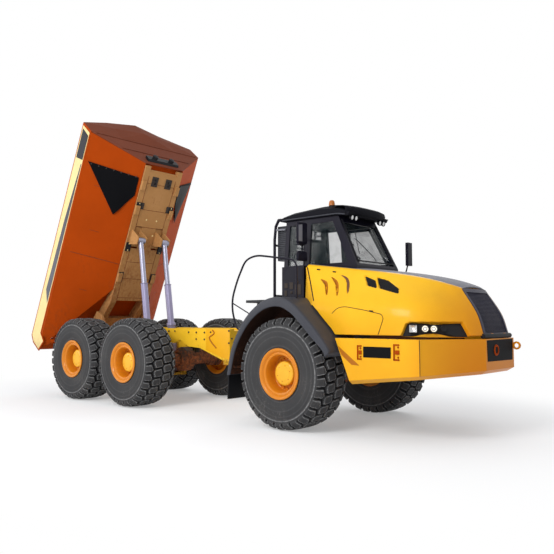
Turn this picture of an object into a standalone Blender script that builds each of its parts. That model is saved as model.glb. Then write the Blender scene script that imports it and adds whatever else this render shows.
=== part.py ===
# Articulated dump truck, six wheels driven, with its body raised to dump.
#
# Metres, +Z up, +X forward, +Y to the truck's left. Lengths along the truck are measured
# from the front axle, and the whole truck hangs on one empty that moves the origin to the
# ground below the middle of its length.

import math

import bpy
import bmesh
from mathutils import Matrix, Vector

for old in list(bpy.data.objects):
    bpy.data.objects.remove(old)

# Clearances
SEAT = 0.0003
RUN = 0.0005
CLEAR = 0.006

# Wheels and axles
TYRE_RADIUS = 0.92
TYRE_WIDTH = 0.75
TRACK = 2.64
MID_AXLE_X = -4.30
REAR_AXLE_X = -6.25
AXLE_Z = TYRE_RADIUS
SEAT_RADIUS = 0.355
HUB_FACE_Y = TRACK / 2 - 0.30
HUB_RADIUS = 0.20
AXLE_TUBE = 0.13
DIFF_RADIUS = 0.27

# Steering hinge and oscillation bearing
STEER_X = -1.50
HITCH_Z = 1.15
BOSS_RADIUS = 0.13
LUG_HEIGHT = 0.25
LUG_DEPTH = 0.11
ARM_Y = 0.46
ARM_Z = 1.05
BARREL_PIN_X = -0.35
BARREL_PIN_Y = 0.50
STEER_EYE = 0.06
TRUNNION_RADIUS = 0.17
BEARING_X = -2.20
BEARING_LENGTH = 0.25

# Front frame
FRONT_RAIL_Y = 0.32
FRONT_RAIL_WIDTH = 0.08
FRONT_RAIL_Z = (1.10, 1.42)
FRONT_RAIL_X = (-0.60, 2.55)

# Height of the body's lowest fold when lowered, which the rear frame lies under
SIDE_FOOT = 1.70

# Rear frame, its rails' depth over the axles
RAIL_DEPTH = 0.32
BEAM_Y = TRACK / 2 - TYRE_WIDTH / 2 - 0.105
REAR_RAIL_Y = BEAM_Y - 0.28
REAR_RAIL_WIDTH = 0.12
REAR_RAIL_TOP = SIDE_FOOT - 0.08
REAR_RAIL_END = -6.76
BOGIE_X = -5.275
BOGIE_Z = 0.80
BOGIE_TUBE = 0.075

# Body, given as it lies lowered
TIP_X = -6.50
TIP_Z = REAR_RAIL_TOP - 0.17
TIP_ANGLE = 67.0
PLATE = 0.02
RAIL_Y = 1.62
FLOOR_HALF = 0.55
BODY_BOTTOM = SIDE_FOOT - 0.03
FLOOR_Z = SIDE_FOOT + 0.07
CHUTE_X = -5.42
CHUTE_RISE = 0.40
TAIL_X = -7.37
SIDE_SLOPE = 0.79
WALL_FOOT_X = -2.26
WALL_LEAN = 0.402

# Hoist cylinders, two stages
HOIST_Y = REAR_RAIL_Y - 0.21
HOIST_FOOT = (-5.05, 0.65)
HOIST_HEAD = (-4.06, SIDE_FOOT - 0.28)
HOIST_RADII = (0.095, 0.078, 0.060)
EYE_RADIUS = 0.075
EYE_WIDTH = 0.20

# Cab and hood
CAB_HALF = 0.66
CAB_TOP_HALF = 0.58
CAB_REAR_X = -0.75
CAB_FOOT_Z = 1.70
CAB_FLOOR_Z = 2.21
CAB_BELT_Z = 2.72
CAB_TOP_Z = 3.62
CAB_FRONT_X = 0.87
CAB_BROW_X = 0.43
CAB_WALL = 0.05
ROOF_REAR_X = -0.86
GUARD_Y = CAB_HALF - 0.06
DECK_Z = 2.15
FENDER_Y = TRACK / 2 + 0.40
RAIL_TUBE_Y = FENDER_Y - 0.22
HOOD_REAR_X = 0.25
LID_X = 2.97
LID_Z = 1.57


# Materials
def paint(name, colour, roughness, metallic=0.0):
    material = bpy.data.materials.new(name)
    material.use_nodes = True
    shader = material.node_tree.nodes["Principled BSDF"]
    shader.inputs["Base Color"].default_value = (*colour, 1.0)
    shader.inputs["Roughness"].default_value = roughness
    shader.inputs["Metallic"].default_value = metallic
    return material


YELLOW = paint("yellow_paint", (0.78, 0.44, 0.03), 0.38)
ORANGE = paint("orange_paint", (0.52, 0.15, 0.02), 0.5)
TAN = paint("tan_paint", (0.56, 0.30, 0.09), 0.55)
BROWN = paint("muddy_steel", (0.16, 0.07, 0.03), 0.75)
GREY = paint("dark_plastic", (0.06, 0.065, 0.07), 0.6)
BLACK = paint("cab_black", (0.02, 0.02, 0.03), 0.45)
TYRE = paint("tyre_rubber", (0.05, 0.05, 0.052), 0.8)
RUBBER = paint("flap_rubber", (0.03, 0.03, 0.035), 0.75)
STEEL = paint("cylinder_steel", (0.42, 0.42, 0.58), 0.3, 0.8)
CHROME = paint("rod_chrome", (0.55, 0.55, 0.62), 0.18, 1.0)
GLASS = paint("window_glass", (0.62, 0.66, 0.68), 0.05)
LAMP = paint("lamp_lens", (0.75, 0.76, 0.78), 0.15)
SEAT_CLOTH = paint("seat_cloth", (0.05, 0.07, 0.06), 0.9)

# Empties on the joints' axes. Columns: name, parent, position
PIVOTS = (
    ("truck", None, (0.0, 0.0, 0.0)),
    ("lid_pivot", "truck", (LID_X, 0.0, LID_Z)),
    ("door_pivot", "truck", (-0.20, CAB_HALF + 0.03, CAB_FLOOR_Z)),
    ("steer_pivot", "truck", (STEER_X, 0.0, HITCH_Z)),
    ("roll_pivot", "steer_pivot", (BEARING_X, 0.0, HITCH_Z)),
    ("tip_pivot", "roll_pivot", (TIP_X, 0.0, TIP_Z)),
    ("front_right_hub", "truck", (0.0, -TRACK / 2, AXLE_Z)),
    ("front_left_hub", "truck", (0.0, TRACK / 2, AXLE_Z)),
    ("mid_right_hub", "roll_pivot", (MID_AXLE_X, -TRACK / 2, AXLE_Z)),
    ("mid_left_hub", "roll_pivot", (MID_AXLE_X, TRACK / 2, AXLE_Z)),
    ("rear_right_hub", "roll_pivot", (REAR_AXLE_X, -TRACK / 2, AXLE_Z)),
    ("rear_left_hub", "roll_pivot", (REAR_AXLE_X, TRACK / 2, AXLE_Z)),
)
pivots = {}
places = {}
for pivot_name, parent_name, place in PIVOTS:
    empty = bpy.data.objects.new(pivot_name, None)
    bpy.context.collection.objects.link(empty)
    places[pivot_name] = Vector(place)
    empty.location = places[pivot_name]
    if parent_name:
        empty.parent = pivots[parent_name]
        empty.location = places[pivot_name] - places[parent_name]
    pivots[pivot_name] = empty


# Shapes
def shape(points, faces, name="shape"):
    mesh = bpy.data.meshes.new(name)
    mesh.from_pydata([tuple(p) for p in points], [], faces)
    work = bmesh.new()
    work.from_mesh(mesh)
    bmesh.ops.recalc_face_normals(work, faces=work.faces)
    if work.calc_volume(signed=True) < 0:
        bmesh.ops.reverse_faces(work, faces=work.faces)
    twisted = []
    for face in work.faces:
        lift = [abs((v.co - face.verts[0].co).dot(face.normal)) for v in face.verts]
        if max(lift) > 1e-5:
            twisted.append(face)
    bmesh.ops.triangulate(work, faces=twisted)
    work.to_mesh(mesh)
    work.free()
    thing = bpy.data.objects.new(name, mesh)
    bpy.context.collection.objects.link(thing)
    return thing


def loft(rings, closed=True):
    """Skin over rings of equally many points, its two ends filled."""
    count = len(rings[0])
    points = [p for ring in rings for p in ring]
    faces = []
    for k in range(len(rings) - 1):
        for i in range(count if closed else count - 1):
            j = (i + 1) % count
            a, b = k * count, (k + 1) * count
            faces.append((a + i, a + j, b + j, b + i))
    if closed:
        faces.append(tuple(range(count)))
        faces.append(tuple(range((len(rings) - 1) * count, len(rings) * count)))
    return shape(points, faces)


def prism(outline, low, high, axis="y"):
    """Outline pushed from low to high: (x, z) along y, (y, z) along x or (x, y) along z."""
    put = {
        "x": lambda a, b, c: (c, a, b),
        "y": lambda a, b, c: (a, c, b),
        "z": lambda a, b, c: (a, b, c),
    }[axis]
    return loft([[put(a, b, c) for a, b in outline] for c in (low, high)])


def box(x, y, z):
    return prism([(x[0], z[0]), (x[1], z[0]), (x[1], z[1]), (x[0], z[1])], y[0], y[1])


def ring(centre, radius, across, up, count, phase=0.0):
    turn = [2 * math.pi * i / count + phase for i in range(count)]
    return [centre + radius * (math.cos(a) * across + math.sin(a) * up) for a in turn]


def rod(start, end, radius, count=16, end_radius=None):
    start, end = Vector(start), Vector(end)
    along = (end - start).normalized()
    across = along.orthogonal().normalized()
    up = along.cross(across)
    phase = math.pi / count
    ends = ((start, radius), (end, end_radius or radius))
    return loft([ring(p, r, across, up, count, phase) for p, r in ends])


def bent_tube(points, radius, count=6):
    """Tube along straight runs, mitred where they meet."""
    path = [Vector(p) for p in points]
    rings = []
    first = (path[1] - path[0]).normalized()
    across = first.orthogonal().normalized()
    up = first.cross(across)
    section = ring(Vector(), radius, across, up, count, math.pi / count)
    along = first
    rings.append([path[0] + p for p in section])
    for here, after in zip(path[1:], path[2:] + [None]):
        onward = (after - here).normalized() if after else along
        mitre = (along + onward).normalized()
        base = rings[-1]
        cut = []
        for p in base:
            cut.append(p + along * ((here - p).dot(mitre) / along.dot(mitre)))
        rings.append(cut)
        along = onward
    return loft(rings)


def turned(profile, centre, count, axis="y"):
    """Closed profile of (radius, along) turned about an axis through the centre."""
    centre = Vector(centre)
    sides = {
        "x": (Vector((0, 1, 0)), Vector((0, 0, 1)), Vector((1, 0, 0))),
        "y": (Vector((1, 0, 0)), Vector((0, 0, 1)), Vector((0, 1, 0))),
        "z": (Vector((1, 0, 0)), Vector((0, 1, 0)), Vector((0, 0, 1))),
    }[axis]
    across, up, along = sides
    rings = []
    for i in range(count):
        a = 2 * math.pi * i / count
        out = math.cos(a) * across + math.sin(a) * up
        rings.append([centre + r * out + s * along for r, s in profile])
    size = len(profile)
    faces = []
    for i in range(count):
        j = (i + 1) % count
        for k in range(size):
            m = (k + 1) % size
            faces.append((i * size + k, i * size + m, j * size + m, j * size + k))
    return shape([p for one in rings for p in one], faces)


def spun_solid(profile, centre, count):
    """Profile from axis to axis turned about a line along y, its two poles single points."""
    centre = Vector(centre)
    points = [centre + Vector((0, profile[0][1], 0)), centre + Vector((0, profile[-1][1], 0))]
    middle = profile[1:-1]
    size = len(middle)
    for i in range(count):
        a = 2 * math.pi * i / count
        for r, s in middle:
            points.append(centre + Vector((r * math.cos(a), s, r * math.sin(a))))
    faces = []
    for i in range(count):
        a, b = 2 + i * size, 2 + (i + 1) % count * size
        faces.append((0, a, b))
        faces.append((1, b + size - 1, a + size - 1))
        for k in range(size - 1):
            faces.append((a + k, a + k + 1, b + k + 1, b + k))
    return shape(points, faces)


def bore(radius, count, gap=RUN):
    """Corner radius of a many-sided hole that lets a round of this radius turn."""
    return (radius + gap) / math.cos(math.pi / count)


def aligned_bore(radius, count, gap):
    """Corner radius of a hole whose flats lie along those of the round inside it."""
    return radius + gap / math.cos(math.pi / count)


def combine(base, others, operation):
    for other in others:
        step = base.modifiers.new("step", "BOOLEAN")
        step.operation = operation
        step.solver = "EXACT"
        step.object = other
    graph = bpy.context.evaluated_depsgraph_get()
    done = bpy.data.meshes.new_from_object(base.evaluated_get(graph))
    base.modifiers.clear()
    base.data = done
    for other in others:
        bpy.data.objects.remove(other)


def node(name, material, pivot, adds, cuts=()):
    """One named piece: its shapes joined, its openings cut, hung on its pivot."""
    base = adds[0]
    if len(adds) > 1:
        combine(base, adds[1:], "UNION")
    if cuts:
        combine(base, list(cuts), "DIFFERENCE")
    base.name = name
    base.data.name = name
    base.data.materials.clear()
    base.data.materials.append(material)
    base.data.shade_smooth()
    base.data.set_sharp_from_angle(angle=math.radians(35))
    base.parent = pivots[pivot]
    base.location = -places[pivot]
    return base


def mirrored(points, side):
    return [(x, side * y, z) for x, y, z in points]


def span(low, high, side):
    """Range of y on one side of the truck, in rising order."""
    return (low, high) if side > 0 else (-high, -low)


SIDES = (("right", -1), ("left", 1))

# Wheels: a tyre out to its lugs' tips on a rim with a sunk hub
TYRE_HALF = TYRE_WIDTH / 2
BEAD_HALF = 0.29
WHEEL_STEPS = 20
BEAD_RADIUS = aligned_bore(SEAT_RADIUS, WHEEL_STEPS, SEAT)
TREAD_DEPTH = 0.045
# Section of the carcass from bead to shoulder: radius, distance from the wheel's middle plane
CARCASS = ((BEAD_RADIUS, BEAD_HALF), (0.46, 0.340), (0.74, TYRE_HALF))
# A block's outer and inner edge: radius at its top, distance from the middle plane
BLOCK_EDGES = ((TYRE_RADIUS - 0.022, TYRE_HALF - 0.022), (TYRE_RADIUS, 0.02))
# Corners along one pitch of the tread on each side: share of the pitch, on top of a block or not
BLOCK_TURNS = {
    1: ((0.0, True), (0.62, True), (0.70, False), (0.92, False)),
    -1: ((0.0, True), (0.08, False), (0.30, False), (0.38, True)),
}


def zipped(first, second):
    """Triangles between two rings of (turn, point number), walked round together by turn."""
    faces = []
    i = j = 0
    while i < len(first) or j < len(second):
        a, b = first[i % len(first)], second[j % len(second)]
        next_a = first[(i + 1) % len(first)]
        next_b = second[(j + 1) % len(second)]
        turn_a = next_a[0] + (i + 1) // len(first)
        turn_b = next_b[0] + (j + 1) // len(second)
        if j >= len(second) or (i < len(first) and turn_a <= turn_b):
            faces.append((a[1], next_a[1], b[1]))
            i += 1
        else:
            faces.append((a[1], next_b[1], b[1]))
            j += 1
    return faces


def lugged_tyre(centre):
    """Smooth sides, and on each half of the tread one block to a pitch, the two halves staggered."""
    points = []
    faces = []

    def circle(turns, radii, along):
        numbers = []
        for turn, radius in zip(turns, radii):
            a = 2 * math.pi * turn
            points.append((centre[0] + radius * math.cos(a), centre[1] + along,
                           centre[2] + radius * math.sin(a)))
            numbers.append((turn, len(points) - 1))
        return numbers

    def strip(one, other):
        for k in range(len(one)):
            m = (k + 1) % len(one)
            faces.append((one[k][1], one[m][1], other[m][1], other[k][1]))

    plain = [k / WHEEL_STEPS for k in range(WHEEL_STEPS)]
    middle = circle(plain, [TYRE_RADIUS - TREAD_DEPTH] * WHEEL_STEPS, 0.0)
    beads = []
    for side in (1, -1):
        rings = [circle(plain, [r] * WHEEL_STEPS, side * s) for r, s in CARCASS]
        strip(rings[0], rings[1])
        strip(rings[1], rings[2])
        beads.append(rings[0])
        turns = []
        tops = []
        for k in range(WHEEL_STEPS):
            for share, top in BLOCK_TURNS[side]:
                turns.append((k + share) / WHEEL_STEPS)
                tops.append(top)
        edges = []
        for radius, along in BLOCK_EDGES:
            radii = [radius if top else radius - TREAD_DEPTH for top in tops]
            edges.append(circle(turns, radii, side * along))
        faces.extend(zipped(rings[2], edges[0]))
        strip(edges[0], edges[1])
        faces.extend(zipped(edges[1], middle))
    strip(beads[0], beads[1])
    return shape(points, faces)


def wheel(place, side):
    x, y, z = places[place + "_hub"]
    node(place + "_tyre", TYRE, place + "_hub", [lugged_tyre((x, y, z))])
    inner = HUB_FACE_Y + RUN - TRACK / 2
    rim = [
        (0.0, inner), (HUB_RADIUS, inner), (HUB_RADIUS, -0.16), (0.31, -0.16),
        (0.31, -0.28), (0.40, -0.335), (SEAT_RADIUS, -0.292),
        (SEAT_RADIUS, 0.292), (0.42, 0.335), (0.42, 0.36), (0.39, 0.36),
        (0.30, 0.30), (0.285, 0.10), (0.21, 0.10), (0.20, 0.20),
        (0.0, 0.215),
    ]
    rim = [(r, side * s) for r, s in rim]
    node(place + "_rim", YELLOW, place + "_hub", [spun_solid(rim, (x, y, z), WHEEL_STEPS)])


for place in ("front", "mid", "rear"):
    for side_name, side in SIDES:
        wheel(f"{place}_{side_name}", side)


# Axles: a banjo housing, its tubes and the hub ends that carry the wheels
def axle(name, x, pivot):
    ends = HUB_FACE_Y
    parts = [
        rod((x, 0.05 - ends, AXLE_Z), (x, ends - 0.05, AXLE_Z), AXLE_TUBE, 16),
        spun_solid([(0.0, -0.22), (0.17, -0.22), (DIFF_RADIUS, -0.10), (DIFF_RADIUS, 0.10),
                    (0.17, 0.22), (0.0, 0.22)], (x, 0.0, AXLE_Z), 16),
        rod((x + 0.15, 0.0, AXLE_Z), (x + 0.48, 0.0, AXLE_Z), 0.11, 12, 0.07),
    ]
    for _, side in SIDES:
        parts.append(rod((x, side * (ends - 0.09), AXLE_Z), (x, side * ends, AXLE_Z), 0.19, 16))
        lift = FRONT_RAIL_Z[0] if pivot == "truck" else REAR_RAIL_TOP - RAIL_DEPTH
        at = FRONT_RAIL_Y if pivot == "truck" else REAR_RAIL_Y
        parts.append(box((x - 0.07, x + 0.07), span(at - 0.06, at + 0.06, side),
                         (AXLE_Z, lift - SEAT)))
    return node(name, BROWN, pivot, parts)


axle("front_axle", 0.0, "truck")
axle("mid_axle", MID_AXLE_X, "roll_pivot")
axle("rear_axle", REAR_AXLE_X, "roll_pivot")


# Front frame: two rails, a waist behind them and the two lugs of the steering hinge
def front_chassis():
    parts = []
    low, high = FRONT_RAIL_Z
    for _, side in SIDES:
        inner = FRONT_RAIL_Y - FRONT_RAIL_WIDTH / 2
        parts.append(box(FRONT_RAIL_X, span(inner, inner + FRONT_RAIL_WIDTH, side), (low, high)))
        ear_y = span(FRONT_RAIL_Y, BARREL_PIN_Y + 0.07, side)
        for z in (ARM_Z + STEER_EYE / 2 + RUN, ARM_Z - STEER_EYE / 2 - RUN - 0.03):
            parts.append(box((BARREL_PIN_X - 0.035, BARREL_PIN_X + 0.09), ear_y, (z, z + 0.03)))
        parts.append(box((BARREL_PIN_X + 0.068, BARREL_PIN_X + 0.10), ear_y, (0.98, 1.14)))
    waist = FRONT_RAIL_Y - FRONT_RAIL_WIDTH / 2 - 0.04
    parts.append(box((-0.95, -0.30), (-waist, waist), (0.80, 1.50)))
    parts.append(box((-0.62, -0.45), (-FRONT_RAIL_Y, FRONT_RAIL_Y), (low + 0.02, high - 0.02)))
    for x in (0.70, 1.60, 2.45):
        parts.append(box((x, x + 0.10), (-FRONT_RAIL_Y, FRONT_RAIL_Y), (low + 0.03, low + 0.22)))
    for base in (HITCH_Z + LUG_HEIGHT, HITCH_Z - LUG_HEIGHT - LUG_DEPTH):
        nose = [(-0.90, -0.23), (-0.90, 0.23), (STEER_X, 0.17)]
        for k in range(1, 8):
            a = math.pi / 2 + math.pi * k / 8
            nose.append((STEER_X + 0.17 * math.cos(a), 0.17 * math.sin(a)))
        nose.append((STEER_X, -0.17))
        parts.append(prism(nose, base, base + LUG_DEPTH, "z"))
    tall = LUG_HEIGHT + LUG_DEPTH
    parts.append(rod((STEER_X, 0, HITCH_Z + tall - 0.01), (STEER_X, 0, HITCH_Z + tall + 0.04), 0.09))
    parts.append(rod((STEER_X, 0, HITCH_Z - tall + 0.01), (STEER_X, 0, HITCH_Z - tall - 0.04), 0.09))
    # Cab carriers and the posts that the hood's hinge and the bumper sit on
    for _, side in SIDES:
        reach = CAB_HALF - 0.04
        parts.append(box((-0.20, -0.08), span(0.30, reach, side), (high - 0.04, high + 0.10)))
        parts.append(box((-0.20, -0.08), span(reach - 0.10, reach, side),
                         (high + 0.03, CAB_FOOT_Z - SEAT)))
    return node("front_chassis", BROWN, "truck", parts)


front_chassis()


# Hitch: steering boss, cylinder arms and the trunnion that lets the rear frame roll
def hitch():
    half = LUG_HEIGHT - RUN
    parts = [
        rod((STEER_X, 0, HITCH_Z - half), (STEER_X, 0, HITCH_Z + half), BOSS_RADIUS, 24),
        rod((STEER_X, 0, HITCH_Z), (BEARING_X - BEARING_LENGTH - 0.04, 0, HITCH_Z),
            TRUNNION_RADIUS, 24),
        rod((BEARING_X + 0.05, 0, HITCH_Z), (BEARING_X + RUN, 0, HITCH_Z), 0.25, 24),
    ]
    for z in (ARM_Z + STEER_EYE / 2 + RUN, ARM_Z - STEER_EYE / 2 - RUN - 0.03):
        reach = ARM_Y + 0.09
        plan = [(STEER_X - 0.11, -0.12), (STEER_X - 0.07, -reach), (STEER_X + 0.07, -reach),
                (STEER_X + 0.10, -0.12), (STEER_X + 0.10, 0.12), (STEER_X + 0.07, reach),
                (STEER_X - 0.07, reach), (STEER_X - 0.11, 0.12)]
        parts.append(prism(plan, z, z + 0.03, "z"))
    return node("hitch", BROWN, "steer_pivot", parts)


hitch()


# Steering cylinders: barrel on the front frame, rod towards the hitch's arm
STEER_BARREL = 0.055
STEER_ROD = 0.028
STEER_BARREL_LENGTH = 0.755
for side_name, side in SIDES:
    pin = Vector((BARREL_PIN_X, side * BARREL_PIN_Y, ARM_Z))
    eye = Vector((STEER_X, side * ARM_Y, ARM_Z))
    along = (eye - pin).normalized()
    for kind, base in (("steer_barrel", pin), ("steer_rod", pin)):
        empty = bpy.data.objects.new(f"{kind}_{side_name}_pivot", None)
        bpy.context.collection.objects.link(empty)
        empty.parent = pivots["truck"]
        empty.location = base
        pivots[empty.name] = empty
        places[empty.name] = base
    half = STEER_EYE / 2
    mouth = pin + along * STEER_BARREL_LENGTH
    outer = rod(pin + along * 0.042, mouth, STEER_BARREL, 20)
    ear = rod(pin - Vector((0, 0, half)), pin + Vector((0, 0, half)), 0.055, 20)
    hollow = rod(pin + along * 0.075, mouth + along * 0.02, aligned_bore(STEER_ROD, 16, RUN), 16)
    node(f"steer_barrel_{side_name}", STEEL, f"steer_barrel_{side_name}_pivot",
         [outer, ear], [hollow])
    inner = rod(pin + along * 0.405, eye - along * 0.02, STEER_ROD, 16)
    ear = rod(eye - Vector((0, 0, half)), eye + Vector((0, 0, half)), 0.055, 20)
    node(f"steer_rod_{side_name}", CHROME, f"steer_rod_{side_name}_pivot", [inner, ear])


# Rear frame: two deep rails, the bearing block in front and the bogie beams
def rear_chassis():
    top, end = REAR_RAIL_TOP, REAR_RAIL_END
    low = top - RAIL_DEPTH
    web = [(BEARING_X, top), (BEARING_X, HITCH_Z - 0.19), (BEARING_X - 0.23, HITCH_Z - 0.15),
           (-3.09, low - 0.08), (-3.44, low - 0.06), (-3.73, low + 0.08), (-4.00, low),
           (end + 0.10, low), (end, low + 0.06), (end, top)]
    parts = []
    inner = REAR_RAIL_Y - REAR_RAIL_WIDTH / 2
    for _, side in SIDES:
        parts.append(prism(web, *span(inner, inner + REAR_RAIL_WIDTH, side)))
    block = box((BEARING_X - BEARING_LENGTH, BEARING_X), (-REAR_RAIL_Y, REAR_RAIL_Y),
                (HITCH_Z - 0.25, top - 0.04))
    parts.append(block)
    for x in (-3.30, end + 0.02):
        parts.append(box((x, x + 0.14), (-REAR_RAIL_Y, REAR_RAIL_Y), (low + 0.03, top - 0.06)))
    foot_x, foot_z = HOIST_FOOT
    cradle = foot_z - EYE_RADIUS - 0.02
    for _, side in SIDES:
        hanger = [(BOGIE_X - 0.14, top - 0.1), (BOGIE_X - 0.14, cradle - 0.06),
                  (foot_x + 0.12, cradle - 0.06), (foot_x + 0.22, top - 0.1)]
        parts.append(prism(hanger, *span(inner + 0.02, inner + REAR_RAIL_WIDTH - 0.02, side)))
        for y in (HOIST_Y - EYE_WIDTH / 2 - RUN - 0.03, HOIST_Y + EYE_WIDTH / 2 + RUN):
            ear = [(foot_x + 0.10, cradle - 0.01), (foot_x + 0.07, foot_z + 0.07),
                   (foot_x - 0.07, foot_z + 0.07), (foot_x - 0.10, cradle - 0.01)]
            parts.append(prism(ear, *span(y, y + 0.03, side)))
    parts.append(box((foot_x - 0.12, foot_x + 0.11), (-REAR_RAIL_Y, REAR_RAIL_Y),
                     (cradle - 0.05, cradle)))
    bearing = rod((BEARING_X + 0.1, 0, HITCH_Z), (BEARING_X - BEARING_LENGTH - 0.1, 0, HITCH_Z),
                  bore(TRUNNION_RADIUS, 24), 24)
    trunnion = rod((BOGIE_X, -0.9, BOGIE_Z), (BOGIE_X, 0.9, BOGIE_Z),
                   aligned_bore(BOGIE_TUBE, 16, SEAT), 16)
    return node("rear_chassis", YELLOW, "roll_pivot", parts, [bearing, trunnion])


rear_chassis()

# Bogie beams, joined by the cross tube they rock on, carry both axles
def bogie_beams():
    profile = [
        (REAR_AXLE_X, 0.84), (REAR_AXLE_X, 0.99), (-5.42, 0.93), (-5.13, 0.93),
        (MID_AXLE_X, 0.99), (MID_AXLE_X, 0.84), (-5.13, 0.67), (-5.42, 0.67),
    ]
    tube_y = BEAM_Y - 0.03
    parts = [rod((BOGIE_X, -tube_y, BOGIE_Z), (BOGIE_X, tube_y, BOGIE_Z), BOGIE_TUBE, 16)]
    holes = []
    for _, side in SIDES:
        parts.append(prism(profile, *span(BEAM_Y - 0.14, BEAM_Y, side)))
        for x in (MID_AXLE_X, REAR_AXLE_X):
            parts.append(rod((x, side * (BEAM_Y - 0.13), AXLE_Z), (x, side * (BEAM_Y + 0.02), AXLE_Z),
                             0.18, 16))
            holes.append(rod((x, side * (BEAM_Y - 0.2), AXLE_Z), (x, side * (BEAM_Y + 0.08), AXLE_Z),
                             aligned_bore(AXLE_TUBE, 16, SEAT), 16))
    return node("bogie_beams", BROWN, "roll_pivot", parts, holes)


bogie_beams()


# Body. Its plates are set out lowered, then the pivot raises them
def chute_under(x):
    return FLOOR_Z + max(0.0, CHUTE_X - x) * CHUTE_RISE


def side_inside(z):
    """Half-width between the sloping side plates at a height."""
    lift = PLATE * math.sqrt(1 + SIDE_SLOPE ** 2)
    return FLOOR_HALF + (z - SIDE_FOOT - lift) / SIDE_SLOPE


def wall_x(z):
    """Front face of the leaning front wall."""
    return WALL_FOOT_X + (z - SIDE_FOOT) * WALL_LEAN


WALL_THICK = PLATE * math.sqrt(1 + WALL_LEAN ** 2)


def body_floor():
    front = wall_x(FLOOR_Z) - WALL_THICK - SEAT
    rings = []
    for x in (front, CHUTE_X, TAIL_X):
        z = chute_under(x)
        half = side_inside(z) - 2 * SEAT
        rings.append([(x, -half, z), (x, half, z), (x, half, z + PLATE), (x, -half, z + PLATE)])
    return node("body_floor", ORANGE, "tip_pivot", [loft(rings)])


body_floor()

# Outline of the upright strip along the top of each side: x, height above the side's foot
RAIL_OUTLINE = (
    (-1.80, 1.245), (-7.18, 1.307), (-7.317, 1.163), (-7.392, 0.827),
    (-7.073, 0.691), (-6.957, 0.903), (-1.924, 0.845),
)


def body_side(side_name, side):
    plate = prism([(x, SIDE_FOOT + up) for x, up in RAIL_OUTLINE],
                  *span(RAIL_Y - PLATE, RAIL_Y, side))
    cap = [(-1.83, 1.24), (-7.15, 1.30), (-7.15, 1.17), (-1.87, 1.11)]
    cap = prism([(x, SIDE_FOOT + up) for x, up in cap],
                *span(RAIL_Y - 0.10, RAIL_Y - PLATE / 2, side))
    lift = PLATE * math.sqrt(1 + SIDE_SLOPE ** 2)
    top_y = RAIL_Y - PLATE / 2
    top_z = SIDE_FOOT + (top_y - FLOOR_HALF) * SIDE_SLOPE
    tail_z = SIDE_FOOT + 0.72
    tail_y = FLOOR_HALF + (tail_z - SIDE_FOOT) / SIDE_SLOPE
    front_top = wall_x(top_z) - WALL_THICK - 0.003
    front_low = wall_x(SIDE_FOOT) - WALL_THICK - 0.001
    low = [
        (front_top, top_y, top_z), (front_low, FLOOR_HALF, SIDE_FOOT),
        (CHUTE_X, FLOOR_HALF, SIDE_FOOT), (-7.05, tail_y, tail_z), (-7.05, top_y, top_z),
    ]
    lean = WALL_LEAN * lift
    high = [(x + (lean if k < 2 else 0.0), y, z + lift) for k, (x, y, z) in enumerate(low)]
    slope = loft([mirrored(low, side), mirrored(high, side)])
    return node(f"body_side_{side_name}", ORANGE, "tip_pivot", [plate, cap, slope])


for side_name, side in SIDES:
    body_side(side_name, side)


def body_front():
    edge = RAIL_Y - PLATE - SEAT
    knee = SIDE_FOOT + 0.845
    top = SIDE_FOOT + 1.255
    # Columns: half-widths, then forward places and heights at the three heights of the wall
    rows = [
        [(WALL_FOOT_X, y, SIDE_FOOT) for y in (-FLOOR_HALF, -0.3, 0.0, 0.3, FLOOR_HALF)],
        [(wall_x(knee), y, knee) for y in (-edge, -0.8, 0.0, 0.8, edge)],
        [(-1.80, -edge, top - 0.015), (-1.76, -0.8, top - 0.055), (-1.70, 0.0, top - 0.095),
         (-1.76, 0.8, top - 0.055), (-1.80, edge, top - 0.015)],
        [(-1.795, -edge, top), (-1.70, -0.8, top + 0.375), (-1.58, 0.0, top + 0.355),
         (-1.70, 0.8, top + 0.375), (-1.795, edge, top)],
    ]
    back = [[(x - WALL_THICK, y, z) for x, y, z in row] for row in rows]
    count = len(rows[0])
    rings = [front + rear[::-1] for front, rear in zip(rows, back)]
    assert len(rings[0]) == 2 * count
    return node("body_front", BROWN, "tip_pivot", [loft(rings)])


body_front()


# Rest on the foot of the front wall: a bar with two round buffers
def body_rest():
    low_z, high_z = SIDE_FOOT + 0.08, SIDE_FOOT + 0.22
    seat = SEAT * math.sqrt(1 + WALL_LEAN ** 2)
    bar = [(wall_x(low_z) + seat, low_z), (wall_x(low_z) + 0.06, low_z),
           (wall_x(high_z) + 0.06, high_z), (wall_x(high_z) + seat, high_z)]
    parts = [prism(bar, -0.45, 0.45)]
    middle_z = (low_z + high_z) / 2
    out = Vector((1.0, 0.0, -WALL_LEAN)).normalized()
    for y in (-0.24, 0.24):
        base = Vector((wall_x(middle_z) + 0.03, y, middle_z))
        parts.append(rod(base, base + out * 0.10, 0.065, 12))
    return node("body_rest", RUBBER, "tip_pivot", parts)


body_rest()


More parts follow.
